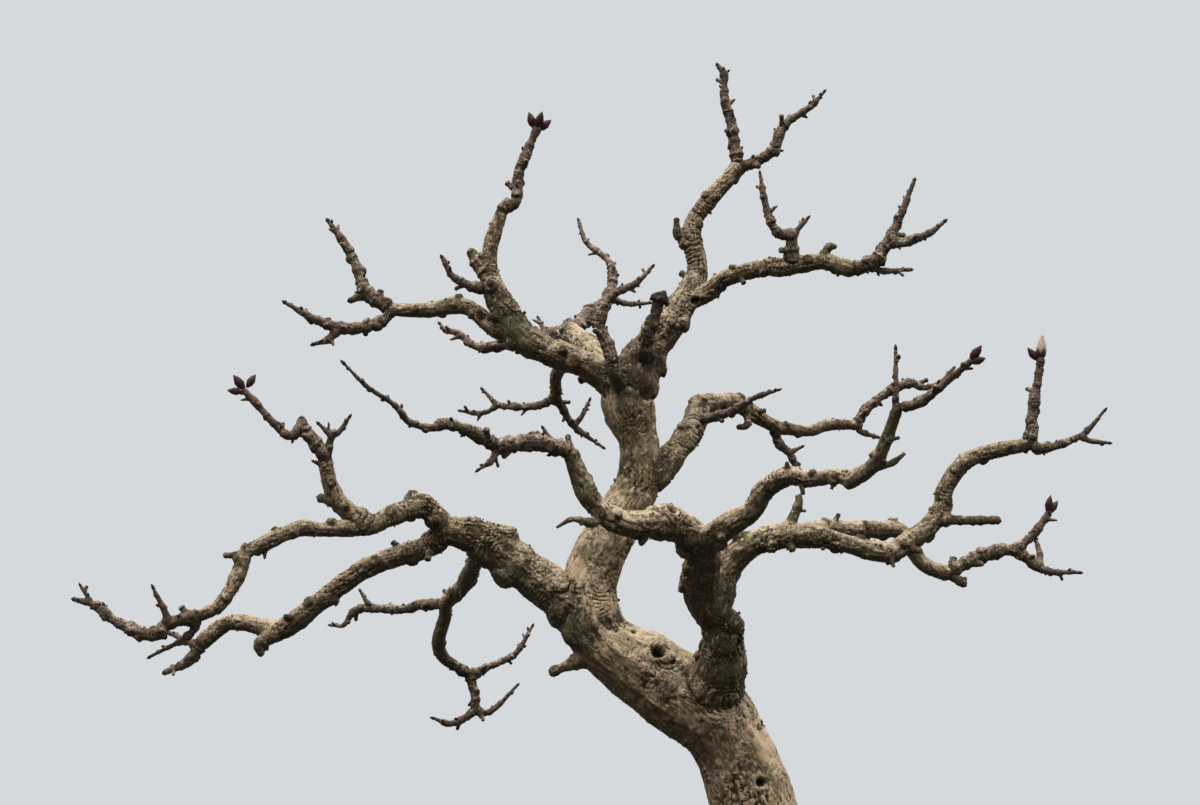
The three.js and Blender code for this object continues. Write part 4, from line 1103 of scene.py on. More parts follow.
def old_relief(skin, others, kind):
    """The height of the bark, the painted shade of its hollows, and where it has peeled."""
    bark = OLD_BARK[kind]
    flaky, wrinkled = near_marks(skin.place, "flakes"), near_marks(skin.place, "wrinkles")
    knotty, inside, near = knots(skin)
    thick = np.minimum(1, skin.radius / bark["full_radius"])
    broad = thick * sum(lumps(skin, *own) for own in bark["lumps"]) + knotty
    off = peeled(skin, *bark["peeled"], 1.6 * flaky)
    deep, rough, seen = bark["recess"]
    recess = deep * off * (1 + rough * LATTICE.smooth(skin.grain / (1.2, 1.2, 3)))
    fine = sum(fibres(skin, *own) for own in bark["fibres"])
    fine += cracks(skin, *bark["cracks"], boost=flaky)
    fine += pits(skin, *bark["pits"])
    fine += sum(creased(skin, *own) for own in bark["creased"])
    calmed, ringed = bark["ringed"]
    fine *= 1 - 0.75 * np.minimum(1, np.maximum(calmed * wrinkled, near))
    fine += rings(skin, *bark["rings"], boost=ringed * wrinkled) + ripples(skin)
    fine = thick * fine - bark["crease"] * crease(skin.place, others)
    # The second value paints shade in the fine hollows, the holes, the creases and the peeled recesses
    return broad + fine - thick * recess, fine - inside - seen * recess, off


def twig_relief(skin, others):
    thick = np.minimum(1, skin.radius / 2.4)
    broad = thick * (lumps(skin, 4, 0.3) + lumps(skin, 2, 0.18, 3.1))
    fine = rings(skin, 1.5, 0.24, 8, 0.6, sharp=0.45) + pits(skin, 2.3, 0.3, 0.35, 0.2)
    fine += lumps(skin, 1.3, 0.1, 4.4) + lumps(skin, 0.8, 0.11, 9.7)
    fine = thick * fine - 0.25 * crease(skin.place, others)
    # The second value paints shade in the twigs' hollows and creases
    return broad + fine, 1.6 * fine, np.zeros(len(skin.place))


def swell_trunk(skin):
    """How much the trunk swells: into ridges at its foot, and broadly along the rest."""
    random = seeded_random("flare")
    apart = 2 * math.pi / FLARE_RIDGES
    ridges = [(i + RIDGE_SCATTER * random()) * apart for i in range(FLARE_RIDGES)]
    angle = np.arctan2(skin.grain[:, 1], skin.grain[:, 0])
    nearest = np.max([np.cos(angle - ridge) for ridge in ridges], axis=0)
    out = FLARE_OUT * np.exp(-np.maximum(0, skin.place[:, 2]) / FLARE_HEIGHT)
    height = skin.radius * out * (1 - RIDGE_SHARE + RIDGE_SHARE * (2 * nearest - 1))
    for step, turn, width, rise_by in SWELLINGS:
        gap = np.linalg.norm(skin.place - on_surface("trunk", step, turn), axis=1)
        height += rise_by * bump(gap, width)
    return height


# Making meshes


def clear_selection():
    if bpy.context.object and bpy.context.object.mode != "OBJECT":
        bpy.ops.object.mode_set(mode="OBJECT")
    bpy.ops.object.select_all(action="DESELECT")


def pick(piece):
    clear_selection()
    piece.select_set(True)
    bpy.context.view_layer.objects.active = piece


def modify(piece, kind, **settings):
    """Adds a modifier with its settings and applies it."""
    pick(piece)
    bpy.ops.object.modifier_add(type=kind)
    modifier = piece.modifiers[-1]
    for key, value in settings.items():
        setattr(modifier, key, value)
    bpy.ops.object.modifier_apply(modifier=modifier.name)


def skin_over(name, rods, grain):
    """One closed skin over all the rods: round tubes drawn as one curve, melted together and softened."""
    clear_selection()
    bpy.ops.curve.primitive_nurbs_path_add(location=(0, 0, 0))
    drawn = bpy.context.object
    drawn.name = name
    curve = drawn.data
    curve.splines.clear()
    curve.bevel_depth, curve.bevel_resolution, curve.use_fill_caps = MM, 3, True
    for rod in rods:
        spline = curve.splines.new("POLY")
        spline.points.add(len(rod.points) - 1)
        ones = np.ones((len(rod.points), 1))
        spline.points.foreach_set("co", np.hstack([rod.points * MM, ones]).ravel())
        spline.points.foreach_set("radius", rod.radii)
    pick(drawn)
    bpy.ops.object.convert(target="MESH")
    piece = bpy.context.object
    modify(piece, "REMESH", mode="VOXEL", voxel_size=grain)
    modify(piece, "SMOOTH", factor=0.5, iterations=4)
    return piece


def keep(mesh, key, values):
    """Keeps a number for each vertex as an attribute that a material reads."""
    mark = mesh.attributes.new(key, "FLOAT", "POINT")
    mark.data.foreach_set("value", values.astype(np.float32))


def carve(piece, skin, height, shade, off, stained=0):
    """Moves each vertex out by its height, and keeps what the bark's material reads."""
    height = height - np.median(height) + SHRINKAGE
    placed = (skin.place + skin.normals * height[:, None]) * MM
    piece.data.vertices.foreach_set("co", placed.astype(np.float32).ravel())
    speckle = lumps(skin, 7, 0.5, 3) + lumps(skin, 2.6, 0.35)
    # Stains darken the bark, and painted shadow is darkest where several marks overlap; the bleached marks
    # lighten it, partly as painted light
    stain = (near_marks(skin.place, "stain") + stained) * (0.75 + speckle)
    bleached_and_lit = near_marks(skin.place, "bleached_and_lit") * (0.9 + speckle)
    # The relief attribute paints shade in the hollows and a highlight on the ridges
    keep(piece.data, "relief", 0.5 + shade / (2 * MARK_DEPTH))
    keep(piece.data, "peeled", off)
    keep(piece.data, "stain", stain + 0.5 * np.maximum(0, speckle) - bleached_and_lit)
    grain = piece.data.attributes.new("grain", "FLOAT_VECTOR", "POINT")
    grain.data.foreach_set("vector", (skin.grain * MM).ravel())
    piece.data.update()
    pick(piece)
    bpy.ops.object.shade_smooth()


def wear(piece, *names):
    for name in names:
        piece.data.materials.append(bpy.data.materials.get(name) or MATERIALS[name](name))


def hand_over(piece, nodes=()):
    """Thins a piece that has too many faces, and puts it on the frame.

    It is attached to the body that carries it, and the solids that it stands for are hidden.
    """
    count = 2 * len(piece.data.polygons)
    if nodes and count > MOST_TRIANGLES:
        modify(piece, "DECIMATE", ratio=MOST_TRIANGLES / count)
    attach(piece, BODY)
    if nodes:
        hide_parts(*nodes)


def family(name):
    """The limb of the trunk that a limb grows from."""
    while LIMBS[name]["on"] != "trunk":
        name = LIMBS[name]["on"]
    return name


def members(root, kind):
    return [n for n in LIMBS if LIMBS[n]["kind"] == kind and n != "trunk" and family(n) == root]


# Materials

SHARE, UNDER, OVER = 0, 6, 7  # the sockets of a Mix node that mixes colours
MIXED = 2


def node(tree, kind, inputs=(), stops=(), **settings):
    """Adds a node with its settings and links; an input is another node's output or a plain value."""
    made = tree.nodes.new("ShaderNode" + kind)
    for key, value in settings.items():
        setattr(made, key, value)
    for key, value in dict(inputs).items():
        socket = made.inputs[key]
        if isinstance(value, bpy.types.NodeSocket):
            tree.links.new(value, socket)
        else:
            socket.default_value = (*value, 1) if socket.type == "RGBA" else value
    for _ in stops[2:]:
        made.color_ramp.elements.new(1)
    for element, (position, colour) in zip(made.color_ramp.elements if stops else (), stops):
        element.position, element.color = position, (*colour, 1)
    return made


def laid_over(tree, colour, layers):
    """Colours laid over a colour, each up to its most as its value goes from low to high."""
    for value, low, high, most, over in layers:
        ends = {"Value": value, "From Min": low, "From Max": high, "To Max": most}
        share = node(tree, "MapRange", ends, interpolation_type="SMOOTHSTEP").outputs["Result"]
        sockets = {SHARE: share, UNDER: colour, OVER: over}
        colour = node(tree, "Mix", sockets, data_type="RGBA").outputs[MIXED]
    return colour


def per_mm(size):
    """The scale that gives a pattern features of this size in millimetres."""
    return 1 / (size * MM)


def new_material(name, roughness, specular=0.25):
    material = bpy.data.materials.new(name)
    material.use_nodes = True
    shader = material.node_tree.nodes["Principled BSDF"]
    shader.inputs["Roughness"].default_value = roughness
    shader.inputs["Specular IOR Level"].default_value = specular
    return material, material.node_tree, shader


def bark(name, looks, spans, roughness=0.9):
    """Weathered bark: wrinkled round the limb, fibrous along it, flaky, with lichen on top, painted light
    on its upper faces and painted shade under the limbs and in its hollows.

    The looks are the colours of lit bark, stained bark, grooves, the inner layer, lichen and green film,
    and the spans those of the patches, the streaks, the lichen and the grit, in millimetres.
    """
    lit, deep, groove, inner, lichen, moss = (getattr(colours(), look) for look in looks)
    # The dark tones of stains serve also as painted shadow and as painted shade under the limbs; the pale
    # tone serves as painted light on upper faces and as a painted highlight on ridges
    damp = tuple(0.5 * (d + g) for d, g in zip(deep, groove))
    pale = tuple(min(1, 1.25 * c) for c in lit)
    patch, streak, crust, grit = spans
    material, tree, shader = new_material(name, roughness)
    place = node(tree, "TexCoord").outputs["Object"]
    grain, off, stain, depth = (
        node(tree, "Attribute", attribute_name=key).outputs[kind]
        for key, kind in (("grain", "Vector"), ("peeled", "Fac"), ("stain", "Fac"), ("relief", "Fac"))
    )
    up = node(tree, "SeparateXYZ", {0: node(tree, "NewGeometry").outputs["Normal"]}).outputs["Z"]

    # Noise by its size, detail, roughness and distortion, and how it is drawn in or out along the limb
    noises = []
    for size, detail, rough, distorted, along in (
        (1.5 * streak, 6, 0.68, 0.9, 3.4),
        (streak, 6, 0.68, 0.7, 0.4),
        (0.55 * streak, 4, 0.6, 0.6, 0.2),
        (0.8 * patch, 2, 0.6, 0, None),
        (patch, 5, 0.65, 0, None),
        (1.9 * patch, 4, 0.6, 0, None),
        (crust, 8, 0.7, 0.5, None),
        (grit, 6, 0.75, 0, None),
    ):
        vector = place
        if along:
            drawn = node(tree, "VectorMath", {0: grain, 1: (1, 1, along)}, operation="MULTIPLY")
            vector = drawn.outputs[0]
        sockets = {
            "Vector": vector, "Scale": per_mm(size), "Detail": detail, "Roughness": rough,
            "Distortion": distorted,
        }
        noises.append(node(tree, "TexNoise", sockets).outputs["Fac"])
    wrinkle, fibre, thin, which, patchy, tinge, crusted, gritty = noises

    pattern = laid_over(tree, wrinkle, [(which, 0.42, 0.58, 1, fibre)])
    streaked, stained, dark, torn = (
        node(tree, "ValToRGB", {"Fac": source}, stops).outputs["Color"]
        for source, stops in (
            (pattern, ((0.36, groove), (0.45, deep), (0.53, lit), (0.66, pale))),
            (pattern, ((0.4, groove), (0.53, deep), (0.66, lit))),
            (pattern, ((0.38, groove), (0.5, damp), (0.64, deep), (0.74, lit))),
            (fibre, ((0.4, groove), (0.5, inner), (0.62, lit))),
        )
    )
    colour = laid_over(tree, streaked, [(patchy, 0.42, 0.58, 1, stained), (thin, 0.46, 0.39, 0.8, groove)])
    # Paler bark, laid on as painted light on upper faces, and as pale bark with painted light where the
    # bleached marks lie
    pale_bark_and_light = node(tree, "Mix", {SHARE: 0.6, UNDER: colour, OVER: pale}, data_type="RGBA").outputs[MIXED]
    bared = node(tree, "Math", {0: off, 1: 0.8}, operation="MULTIPLY").outputs[0]
    colour = node(tree, "Mix", {SHARE: bared, UNDER: colour, OVER: torn}, data_type="RGBA").outputs[MIXED]
    # Upper faces get paler as painted light, down-facing faces darker as painted shade; stain marks darken
    # the bark as stains and painted shadow, bleached marks lighten it as pale bark and painted light; the
    # green film lies in random patches
    colour = laid_over(tree, colour, [
        (up, 0.2, 0.9, 0.5, pale_bark_and_light), (stain, -0.1, -0.8, 0.9, pale_bark_and_light), (stain, 0.3, 0.9, 0.85, dark),
        (stain, 0.9, 1.6, 0.7, groove), (up, 0.2, -0.6, 0.85, dark), (tinge, 0.52, 0.68, 0.42, moss),
    ])
    spotted = laid_over(tree, colour, [(crusted, 0.56, 0.62, 0.75, lichen)])
    # Lichen on the upper faces; then painted shade in the hollows, darkest in the deepest, and a painted
    # highlight on the ridges
    colour = laid_over(tree, colour, [
        (up, -0.6, 0.5, 1, spotted), (depth, 0.5, 0.12, 0.95, groove), (depth, 0.6, 0.95, 0.4, pale),
    ])
    tree.links.new(colour, shader.inputs["Base Color"])

    coarse = {"Height": pattern, "Strength": 0.6, "Distance": 0.4 * streak * MM}
    normal = node(tree, "Bump", coarse).outputs[0]
    fine = {"Height": gritty, "Strength": 0.7, "Distance": 0.4 * grit * MM, "Normal": normal}
    tree.links.new(node(tree, "Bump", fine).outputs[0], shader.inputs["Normal"])
    return material


def bud_skin(name, tone, edge, roughness):
    """Bud scales: painted shade in the laps between them, paler at their edges."""
    tone, edge = getattr(colours(), tone), getattr(colours(), edge)
    material, tree, shader = new_material(name, roughness, 0.12)
    row = node(tree, "Attribute", attribute_name="relief").outputs["Fac"]
    stops = ((0, colours().groove), (0.15, tone), (0.85, tone), (1, edge))
    colour = node(tree, "ValToRGB", {"Fac": row}, stops).outputs["Color"]
    tree.links.new(colour, shader.inputs["Base Color"])
    return material


MATERIALS = {
    # Old bark: matt, with fibrous plates that flake off and leave a redder layer
    "old_cracked_bark": lambda name: bark(
        name, ("old_bark", "old_bark_deep", "groove", "inner_bark", "lichen", "moss"), (17, 1.3, 3, 0.5)
    ),
    # Bark of the boughs: greyer, ringed, with crusts of lichen on its upper side
    "ringed_bark": lambda name: bark(
        name, ("bough_bark", "bough_bark_deep", "groove", "inner_bark", "lichen", "moss"),
        (12, 1.2, 2.4, 0.45)
    ),
    # Bark of the twigs: browner and finer, with less lichen
    "young_ringed_bark": lambda name: bark(
        name, ("twig_bark", "twig_bark_deep", "groove", "inner_bark", "lichen", "moss"), (8, 1, 2, 0.4)
    ),
    # Bark of the last year's growth: smoother, reddish, and clean of lichen
    "young_shoot_bark": lambda name: bark(
        name, ("shoot_bark", "twig_bark_deep", "groove", "inner_bark", "twig_bark", "twig_bark"),
        (5, 0.9, 2, 0.35), 0.7
    ),
    # Dead wood: nearly black, with some old bark left low down
    "weathered_dead_wood": lambda name: bark(
        name, ("dead_wood", "groove", "groove", "old_bark_deep", "old_bark_deep", "dead_wood"),
        (6, 1.5, 3, 0.5), 0.85
    ),
    # Scales of the resting buds: dark and a little waxy
    "dark_bud_scales": lambda name: bud_skin(name, "bud_scales", "shoot_bark", 0.55),
    # Down of the opening bud: pale and quite matt
    "pale_down": lambda name: bud_skin(name, "down", "lichen", 0.95),
}


# Buds and flakes: one shape each, copied to where it grows. A shape is its points, faces and shades.


def taken(model, points, shade):
    """The model's shape with these points and shades, and the model itself put away."""
    mesh = model.data
    faces = [tuple(face.vertices) for face in mesh.polygons]
    bpy.data.objects.remove(model)
    bpy.data.meshes.remove(mesh)
    return points, faces, shade


def scaly_bud(segments, rows):
    """A pointed bud one unit long and one wide, with scales that lie over one another."""
    clear_selection()
    bpy.ops.mesh.primitive_uv_sphere_add(segments=segments, ring_count=rows, radius=1)
    bud = bpy.context.object
    points = vectors(bud.data)
    up = 0.5 + 0.5 * np.clip(points[:, 2], -1, 1)
    angle = np.arctan2(points[:, 1], points[:, 0])
    width = np.interp(up, *zip(*BUD_PROFILE)) / 2
    row = (up * SCALE_ROWS + SCALE_POINTS * np.abs(np.cos(1.5 * angle))) % 1
    width *= 1 + SCALE_STEP * (row - 0.5) * (up < SCALED_SHARE)
    around = np.stack([np.cos(angle), np.sin(angle)], axis=1) * width[:, None]
    around[(up < 1e-4) | (up > 1 - 1e-4)] = 0
    # The shade is each point's place in its row of scales: the scales' material paints shade in the laps,
    # low in each row
    return taken(bud, np.column_stack([around, up]), row)


def bark_flake():
    """A thin curled plate of bark with a ragged outline, lying on the ground plane."""
    clear_selection()
    bpy.ops.mesh.primitive_grid_add(x_subdivisions=4, y_subdivisions=3, size=1)
    flake = bpy.context.object
    modify(flake, "SOLIDIFY", thickness=FLAKE_THICKNESS, offset=0)
    points = vectors(flake.data)
    ragged = 1 + 0.35 * LATTICE.smooth(points * 3 + 1.5)
    points[:, 0] *= ragged
    points[:, 1] *= 0.65 * ragged
    points[:, 2] += 0.9 * points[:, 0] ** 2 - 0.5 * points[:, 1] ** 2
    # The shade runs from one end to the other, so the bark's painted shade of hollows darkens one end and
    # its painted highlight lightens the other
    return taken(flake, points, 0.5 + points[:, 0])


def hair():
    """A thin pointed hair, one unit long."""
    clear_selection()
    bpy.ops.mesh.primitive_cone_add(vertices=3, radius1=0.5, radius2=0, depth=1, location=(0, 0, 0.5))
    bpy.ops.object.transform_apply()
    points = vectors(bpy.context.object.data)
    # The shade rises from the root to the tip, so the down's material paints shade at the hair's root
    return taken(bpy.context.object, points, points[:, 2])


def frame_for(way, turn):
    """A turned frame whose third axis is the given way."""
    way = unit(np.asarray(way, float))
    side = turned(aside(way), way, turn)
    return np.column_stack([side, np.cross(way, side), way])


def copies(name, shape, places, material, flat=False):
    """One mesh with a copy of the shape at each place: (root, frame, (width, depth, length))."""
    points, faces, shade = shape
    all_points, all_faces = [], []
    for root, axes, size in places:
        shift = len(points) * len(all_points)
        all_points.append(root + (points * size) @ axes.T)
        all_faces += [tuple(corner + shift for corner in face) for face in faces]
    mesh = bpy.data.meshes.new(name)
    mesh.from_pydata((np.vstack(all_points) * MM).tolist(), [], all_faces)
    keep(mesh, "relief", np.tile(shade.astype(np.float32), len(places)))
    piece = bpy.data.objects.new(name, mesh)
    bpy.context.collection.objects.link(piece)
    wear(piece, material)
    pick(piece)
    if not flat:
        bpy.ops.object.shade_smooth()
    hand_over(piece)


def surface_of(start):
    """A function that gives where a way in from a point first meets the skins named so, or nothing."""
    graph = bpy.context.evaluated_depsgraph_get()
    trees = []
    for piece in bpy.context.scene.objects:
        if piece.name.startswith(start) and piece.name.endswith("_skin"):
            trees.append(BVHTree.FromObject(piece, graph))

    def met(point, way, reach):
        hits = [tree.ray_cast(point * MM, way, reach * MM) for tree in trees]
        hits = [hit for hit in hits if hit[0]]
        return min(hits, key=lambda hit: hit[3])[:2] if hits else None

    return met


def small_buds():
    """Places of the small side buds and of the buds at the twigs' tips."""
    places = []
    met = surface_of("twigs")
    for name in LIMBS:
        if LIMBS[name]["kind"] != "twigs":
            continue
        random = seeded_random(name + "_buds")
        for line in LINES[name]:
            for shoot in shoots_of(name, line, random, "buds"):
                length = shoot.out - shoot.surface
                width = SMALL_BUD_WIDTH * length
                hit = met(shoot.tip() + shoot.way * length, -shoot.way, shoot.out + length)
                if hit:
                    root = np.array(hit[0]) / MM - shoot.way * SMALL_BUD_SUNK * length
                    size = (width, width, SMALL_BUD_LENGTHENED * length)
                    places.append((root, frame_for(shoot.way, 360 * random()), size))
            if not line.grown["buds"]:
                length = between(TIP_BUD_LENGTH, random())
                way, thick = line.tangent(line.steps), line.thick(line.steps)
                width = max(TIP_BUD_WIDTH[0] * thick, TIP_BUD_WIDTH[1] * length)
                root = line.at(line.steps) - way * TIP_BUD_SUNK
                places.append((root, frame_for(way, 360 * random()), (width, width, length)))
    return places


def large_buds():
    """Places of the large scaly buds that the limbs' table names, and that of the longest one apart."""
    places = []
    for line in itertools.chain(*LINES.values()):
        for heading, lean, length, thickness in line.grown["buds"]:
            way, along = direction(heading, lean), line.tangent(line.steps)
            apart = LARGE_BUDS_APART * (way - along * (way @ along))
            root = line.at(line.steps) + way * (LARGE_BUD_SHIFT * length - 1) + apart
            axes = frame_for(way, LARGE_BUD_TURN * len(places))
            places.append((root, axes, (thickness, thickness, length)))
    downy = max(places, key=lambda place: place[2][2])
    return [place for place in places if place is not downy], downy


def flake_places(kind, start):
    """Flakes scattered on the skins, more where the bark is flaky and none on thin limbs."""
    met = surface_of(start)
    random = np.random.default_rng(5)
    places = []
    for name in LIMBS:
        if LIMBS[name]["kind"] != kind:
            continue
        line = LINES[name][0]
        area = math.pi * line.thick(line.steps / 2) * sum(line.length(i) for i in range(line.count))
        for _ in range(int(FLAKES_PER_SQUARE[kind] * area)):
            step, turn = random.uniform(0, line.steps), random.uniform(-180, 180)
            spot = on_surface(name, step, turn)
            flaky = near_marks(spot[None], "flakes")[0]
            chance = FLAKED_SHARE + (1 - FLAKED_SHARE) * flaky
            if spot[2] < FLAKED_HEIGHT or random.random() > chance or line.thick(step) < FLAKED_THICKNESS:
                continue
            middle = line.at(step)
            hit = met(middle + 1.6 * (spot - middle), middle - spot, line.thick(step))
            if not hit:
                continue
            place, normal = np.array(hit[0]) / MM, np.array(hit[1])
            lift = random.uniform(-1, 1) * between(FLAKE_LIFT, random.random())
            tilt = turned(normal, line.tangent(step), lift)
            size = between(FLAKE_SIZE, random.random() ** 1.6) * (1 + FLAKE_GROWTH * flaky)
            axes = frame_for(tilt, random.uniform(0, 360))
            places.append((place - normal * FLAKE_SUNK * size, axes, (size, size, size)))
    return places


# What a user would change


def grain_property(whose, size):
    return bpy.props.FloatProperty(
        name=whose + " grain", description="Face size of this skin: " + whose.lower(), default=size * MM,
        unit="LENGTH",
    )


class TreeSizes(bpy.types.PropertyGroup):
    """Face sizes and depths, in metres."""

    trunk_grain: grain_property("Trunk", 0.66)
    bough_grain: grain_property("Boughs", 0.46)
    twig_grain: grain_property("Twigs", 0.36)
    relief: bpy.props.FloatProperty(
        name="Relief", description="Depth of the bark's relief as a share of the usual", default=1
    )
    focal_length: bpy.props.FloatProperty(
        name="Lens", description="Focal length of the camera", default=72, unit="CAMERA"
    )


def colour_property(name, description, code):
    return bpy.props.FloatVectorProperty(
        name=name, description=description, subtype="COLOR", size=3, min=0, max=1, default=from_hex(code)
    )


class TreeColours(bpy.types.PropertyGroup):
    """The tree's colours."""

    old_bark: colour_property("Old bark", "Lit faces of the trunk's bark", "ac957b")
    old_bark_deep: colour_property("Old bark, deep", "Stained parts of the trunk's bark", "655539")
    bough_bark: colour_property("Bough bark", "Lit faces of the boughs' bark", "a18d75")
    bough_bark_deep: colour_property("Bough bark, deep", "Stained parts of the boughs' bark", "53462d")
    twig_bark: colour_property("Twig bark", "The twigs' bark", "7b6859")
    twig_bark_deep: colour_property("Twig bark, deep", "Stained parts of the twigs' bark", "463a2e")
    shoot_bark: colour_property("Young bark", "The last year's growth at each tip", "5f4537")
    # The groove colour is also the darkest painted shade, in hollows and under the limbs
    groove: colour_property("Grooves", "Cracks, pits and rings", "231b10")
    inner_bark: colour_property("Inner bark", "Bared where the outer bark has come off", "8a6549")
    lichen: colour_property("Lichen", "Pale crusts on the upper faces", "aba690")
    moss: colour_property("Green film", "Film of algae on damp faces", "68664a")
    dead_wood: colour_property("Dead wood", "The weathered stub", "2f2a26")
    bud_scales: colour_property("Bud scales", "The buds' dark scales", "2e1c1b")
    down: colour_property("Down", "The fuzz of the opening bud", "9c8f80")
    floor: colour_property("Floor", "The studio floor", "7f8182")
    backdrop: colour_property("Backdrop", "The studio's pale backdrop", "d5d9dc")


def sizes():
    return bpy.context.scene.tree_sizes


def colours():
    return bpy.context.scene.tree_colours


# The operators, one for each piece or group of like pieces


class TREE_OT_trunk(bpy.types.Operator):
    """Grow the trunk, with its flare, its bark and the flat cut at its foot"""

    bl_idname = "tree.trunk"
    bl_label = "Trunk"

    def execute(self, context):
        spacing = ROD_SPACING["trunk"]
        rods = [
            rod_of(line, spacing, k, True, LUMPY["twigs" if line.is_fork() else "trunk"], line.is_fork())
            for k, line in enumerate(LINES["trunk"])
        ]
        piece = skin_over("trunk_skin", rods, sizes().trunk_grain)
        skin = Skin(piece.data, rods)
        roots = [rod_of(LINES[name][0], spacing) for name in LIMBS if LIMBS[name]["on"] == "trunk"]
        height, shade, off = old_relief(skin, roots, "trunk")
        height = swell_trunk(skin) + height * sizes().relief
        carve(piece, skin, height, shade, off, FORK_STAIN * (skin.rod > 0))
        pick(piece)
        bpy.ops.object.mode_set(mode="EDIT")
        bpy.ops.mesh.select_all(action="SELECT")
        bpy.ops.mesh.bisect(
            plane_co=(0, 0, 0), plane_no=(0, 0, 1), clear_inner=True, use_fill=True, threshold=CUT_THRESHOLD
        )
        bpy.ops.object.mode_set(mode="OBJECT")
        wear(piece, "old_cracked_bark")
        hand_over(piece, ["trunk"])
        return {"FINISHED"}


class TREE_OT_boughs(bpy.types.Operator):
    """Grow the boughs, each family that leaves the trunk together as one skin"""

    bl_idname = "tree.boughs"
    bl_label = "Boughs"

    def execute(self, context):
        trunk = [rod_of(LINES["trunk"][0], ROD_SPACING["trunk"])]
        for root in [name for name in LIMBS if name.startswith("bough") and LIMBS[name]["on"] == "trunk"]:
            names = members(root, "bough")
            lines = [line for name in names for line in LINES[name]]
            rods = []
            for k, line in enumerate(lines):
                lumpy = LUMPY["twigs" if line.is_fork() else "bough"]
                rods.append(rod_of(line, ROD_SPACING["bough"], k, False, lumpy, line.is_fork()))
            rods += [shard for line in lines if line.is_fork() for shard in broken_end(line, NARROWED)]
            rods += shoot_rods(names, pointed_every=3)
            piece = skin_over(root.replace("bough", "boughs") + "_skin", rods, sizes().bough_grain)
            skin = Skin(piece.data, rods)
            height, shade, off = old_relief(skin, trunk, "bough")
            thin = 1 - rise(*THIN_RADIUS, skin.radius)
            carve(piece, skin, height * sizes().relief, shade, off, THIN_STAIN * thin)
            wear(piece, "ringed_bark")
            hand_over(piece, names)
        return {"FINISHED"}


class TREE_OT_dead_stub(bpy.types.Operator):
    """Grow the dead stub beside the upper right bough"""

    bl_idname = "tree.dead_stub"
    bl_label = "Dead stub"

    def execute(self, context):
        line = LINES["dead_stub"][0]
        rods = [rod_of(line, ROD_SPACING["dead"], 3, False, 2 * LUMPY["bough"])]
        rods += broken_end(line)
        piece = skin_over("dead_stub_skin", rods, sizes().twig_grain)
        skin = Skin(piece.data, rods)
        height, shade, _ = old_relief(skin, [], "bough")
        height += lumps(skin, 3.4, 1) + lumps(skin, 1.7, 0.5)
        height -= 0.5 * rise(0, 0.6, LATTICE.smooth(skin.grain / (1.5, 1.5, 9)))
        along = (skin.grain[:, 2] - ROD_SHIFT * skin.rod) / rods[0].along[-1]
        barked = 1 - rise(0, 0.15, along - BARKED_SHARE + 0.2 * LATTICE.smooth(skin.place / 3))
        barked[skin.rod > 0] = 0
        carve(piece, skin, height, shade, barked)
        wear(piece, "weathered_dead_wood")
        hand_over(piece, ["dead_stub"])
        return {"FINISHED"}


class TREE_OT_twigs(bpy.types.Operator):
    """Grow the twigs of each family as one skin, with their spurs and young tips"""

    bl_idname = "tree.twigs"
    bl_label = "Twigs"

    def execute(self, context):
        roots = sorted({family(name) for name in LIMBS if LIMBS[name]["kind"] == "twigs"})
        for root in roots:
            names = members(root, "twigs")
            lines = [line for name in names for line in LINES[name]]
            spacing = ROD_SPACING["twigs"]
            rods = [rod_of(line, spacing, k, True, LUMPY["twigs"], True) for k, line in enumerate(lines)]
            rods += shoot_rods(names, pointed_every=2)
            piece = skin_over("twigs_of_" + root + "_skin", rods, sizes().twig_grain)
            skin = Skin(piece.data, rods)
            bearers = {line.carrier for line in lines} - set(lines)
            others = [rod_of(line, ROD_SPACING["bough"]) for line in bearers]
            height, shade, off = twig_relief(skin, others)
            carve(piece, skin, height * sizes().relief, shade, off)
            wear(piece, "young_ringed_bark", "young_shoot_bark")
            deal_young(piece.data, (skin.to_tip < YOUNG_LENGTH) & (skin.rod < len(lines)))
            hand_over(piece, names)
        return {"FINISHED"}


def deal_young(mesh, young):
    """Gives the faces of the last year's growth the second material."""
    starts = np.empty(len(mesh.polygons), np.int32)
    corners = np.empty(len(mesh.loops), np.int32)
    mesh.polygons.foreach_get("loop_start", starts)
    mesh.loops.foreach_get("vertex_index", corners)
    mesh.polygons.foreach_set("material_index", young[corners[starts]].astype(np.int32))


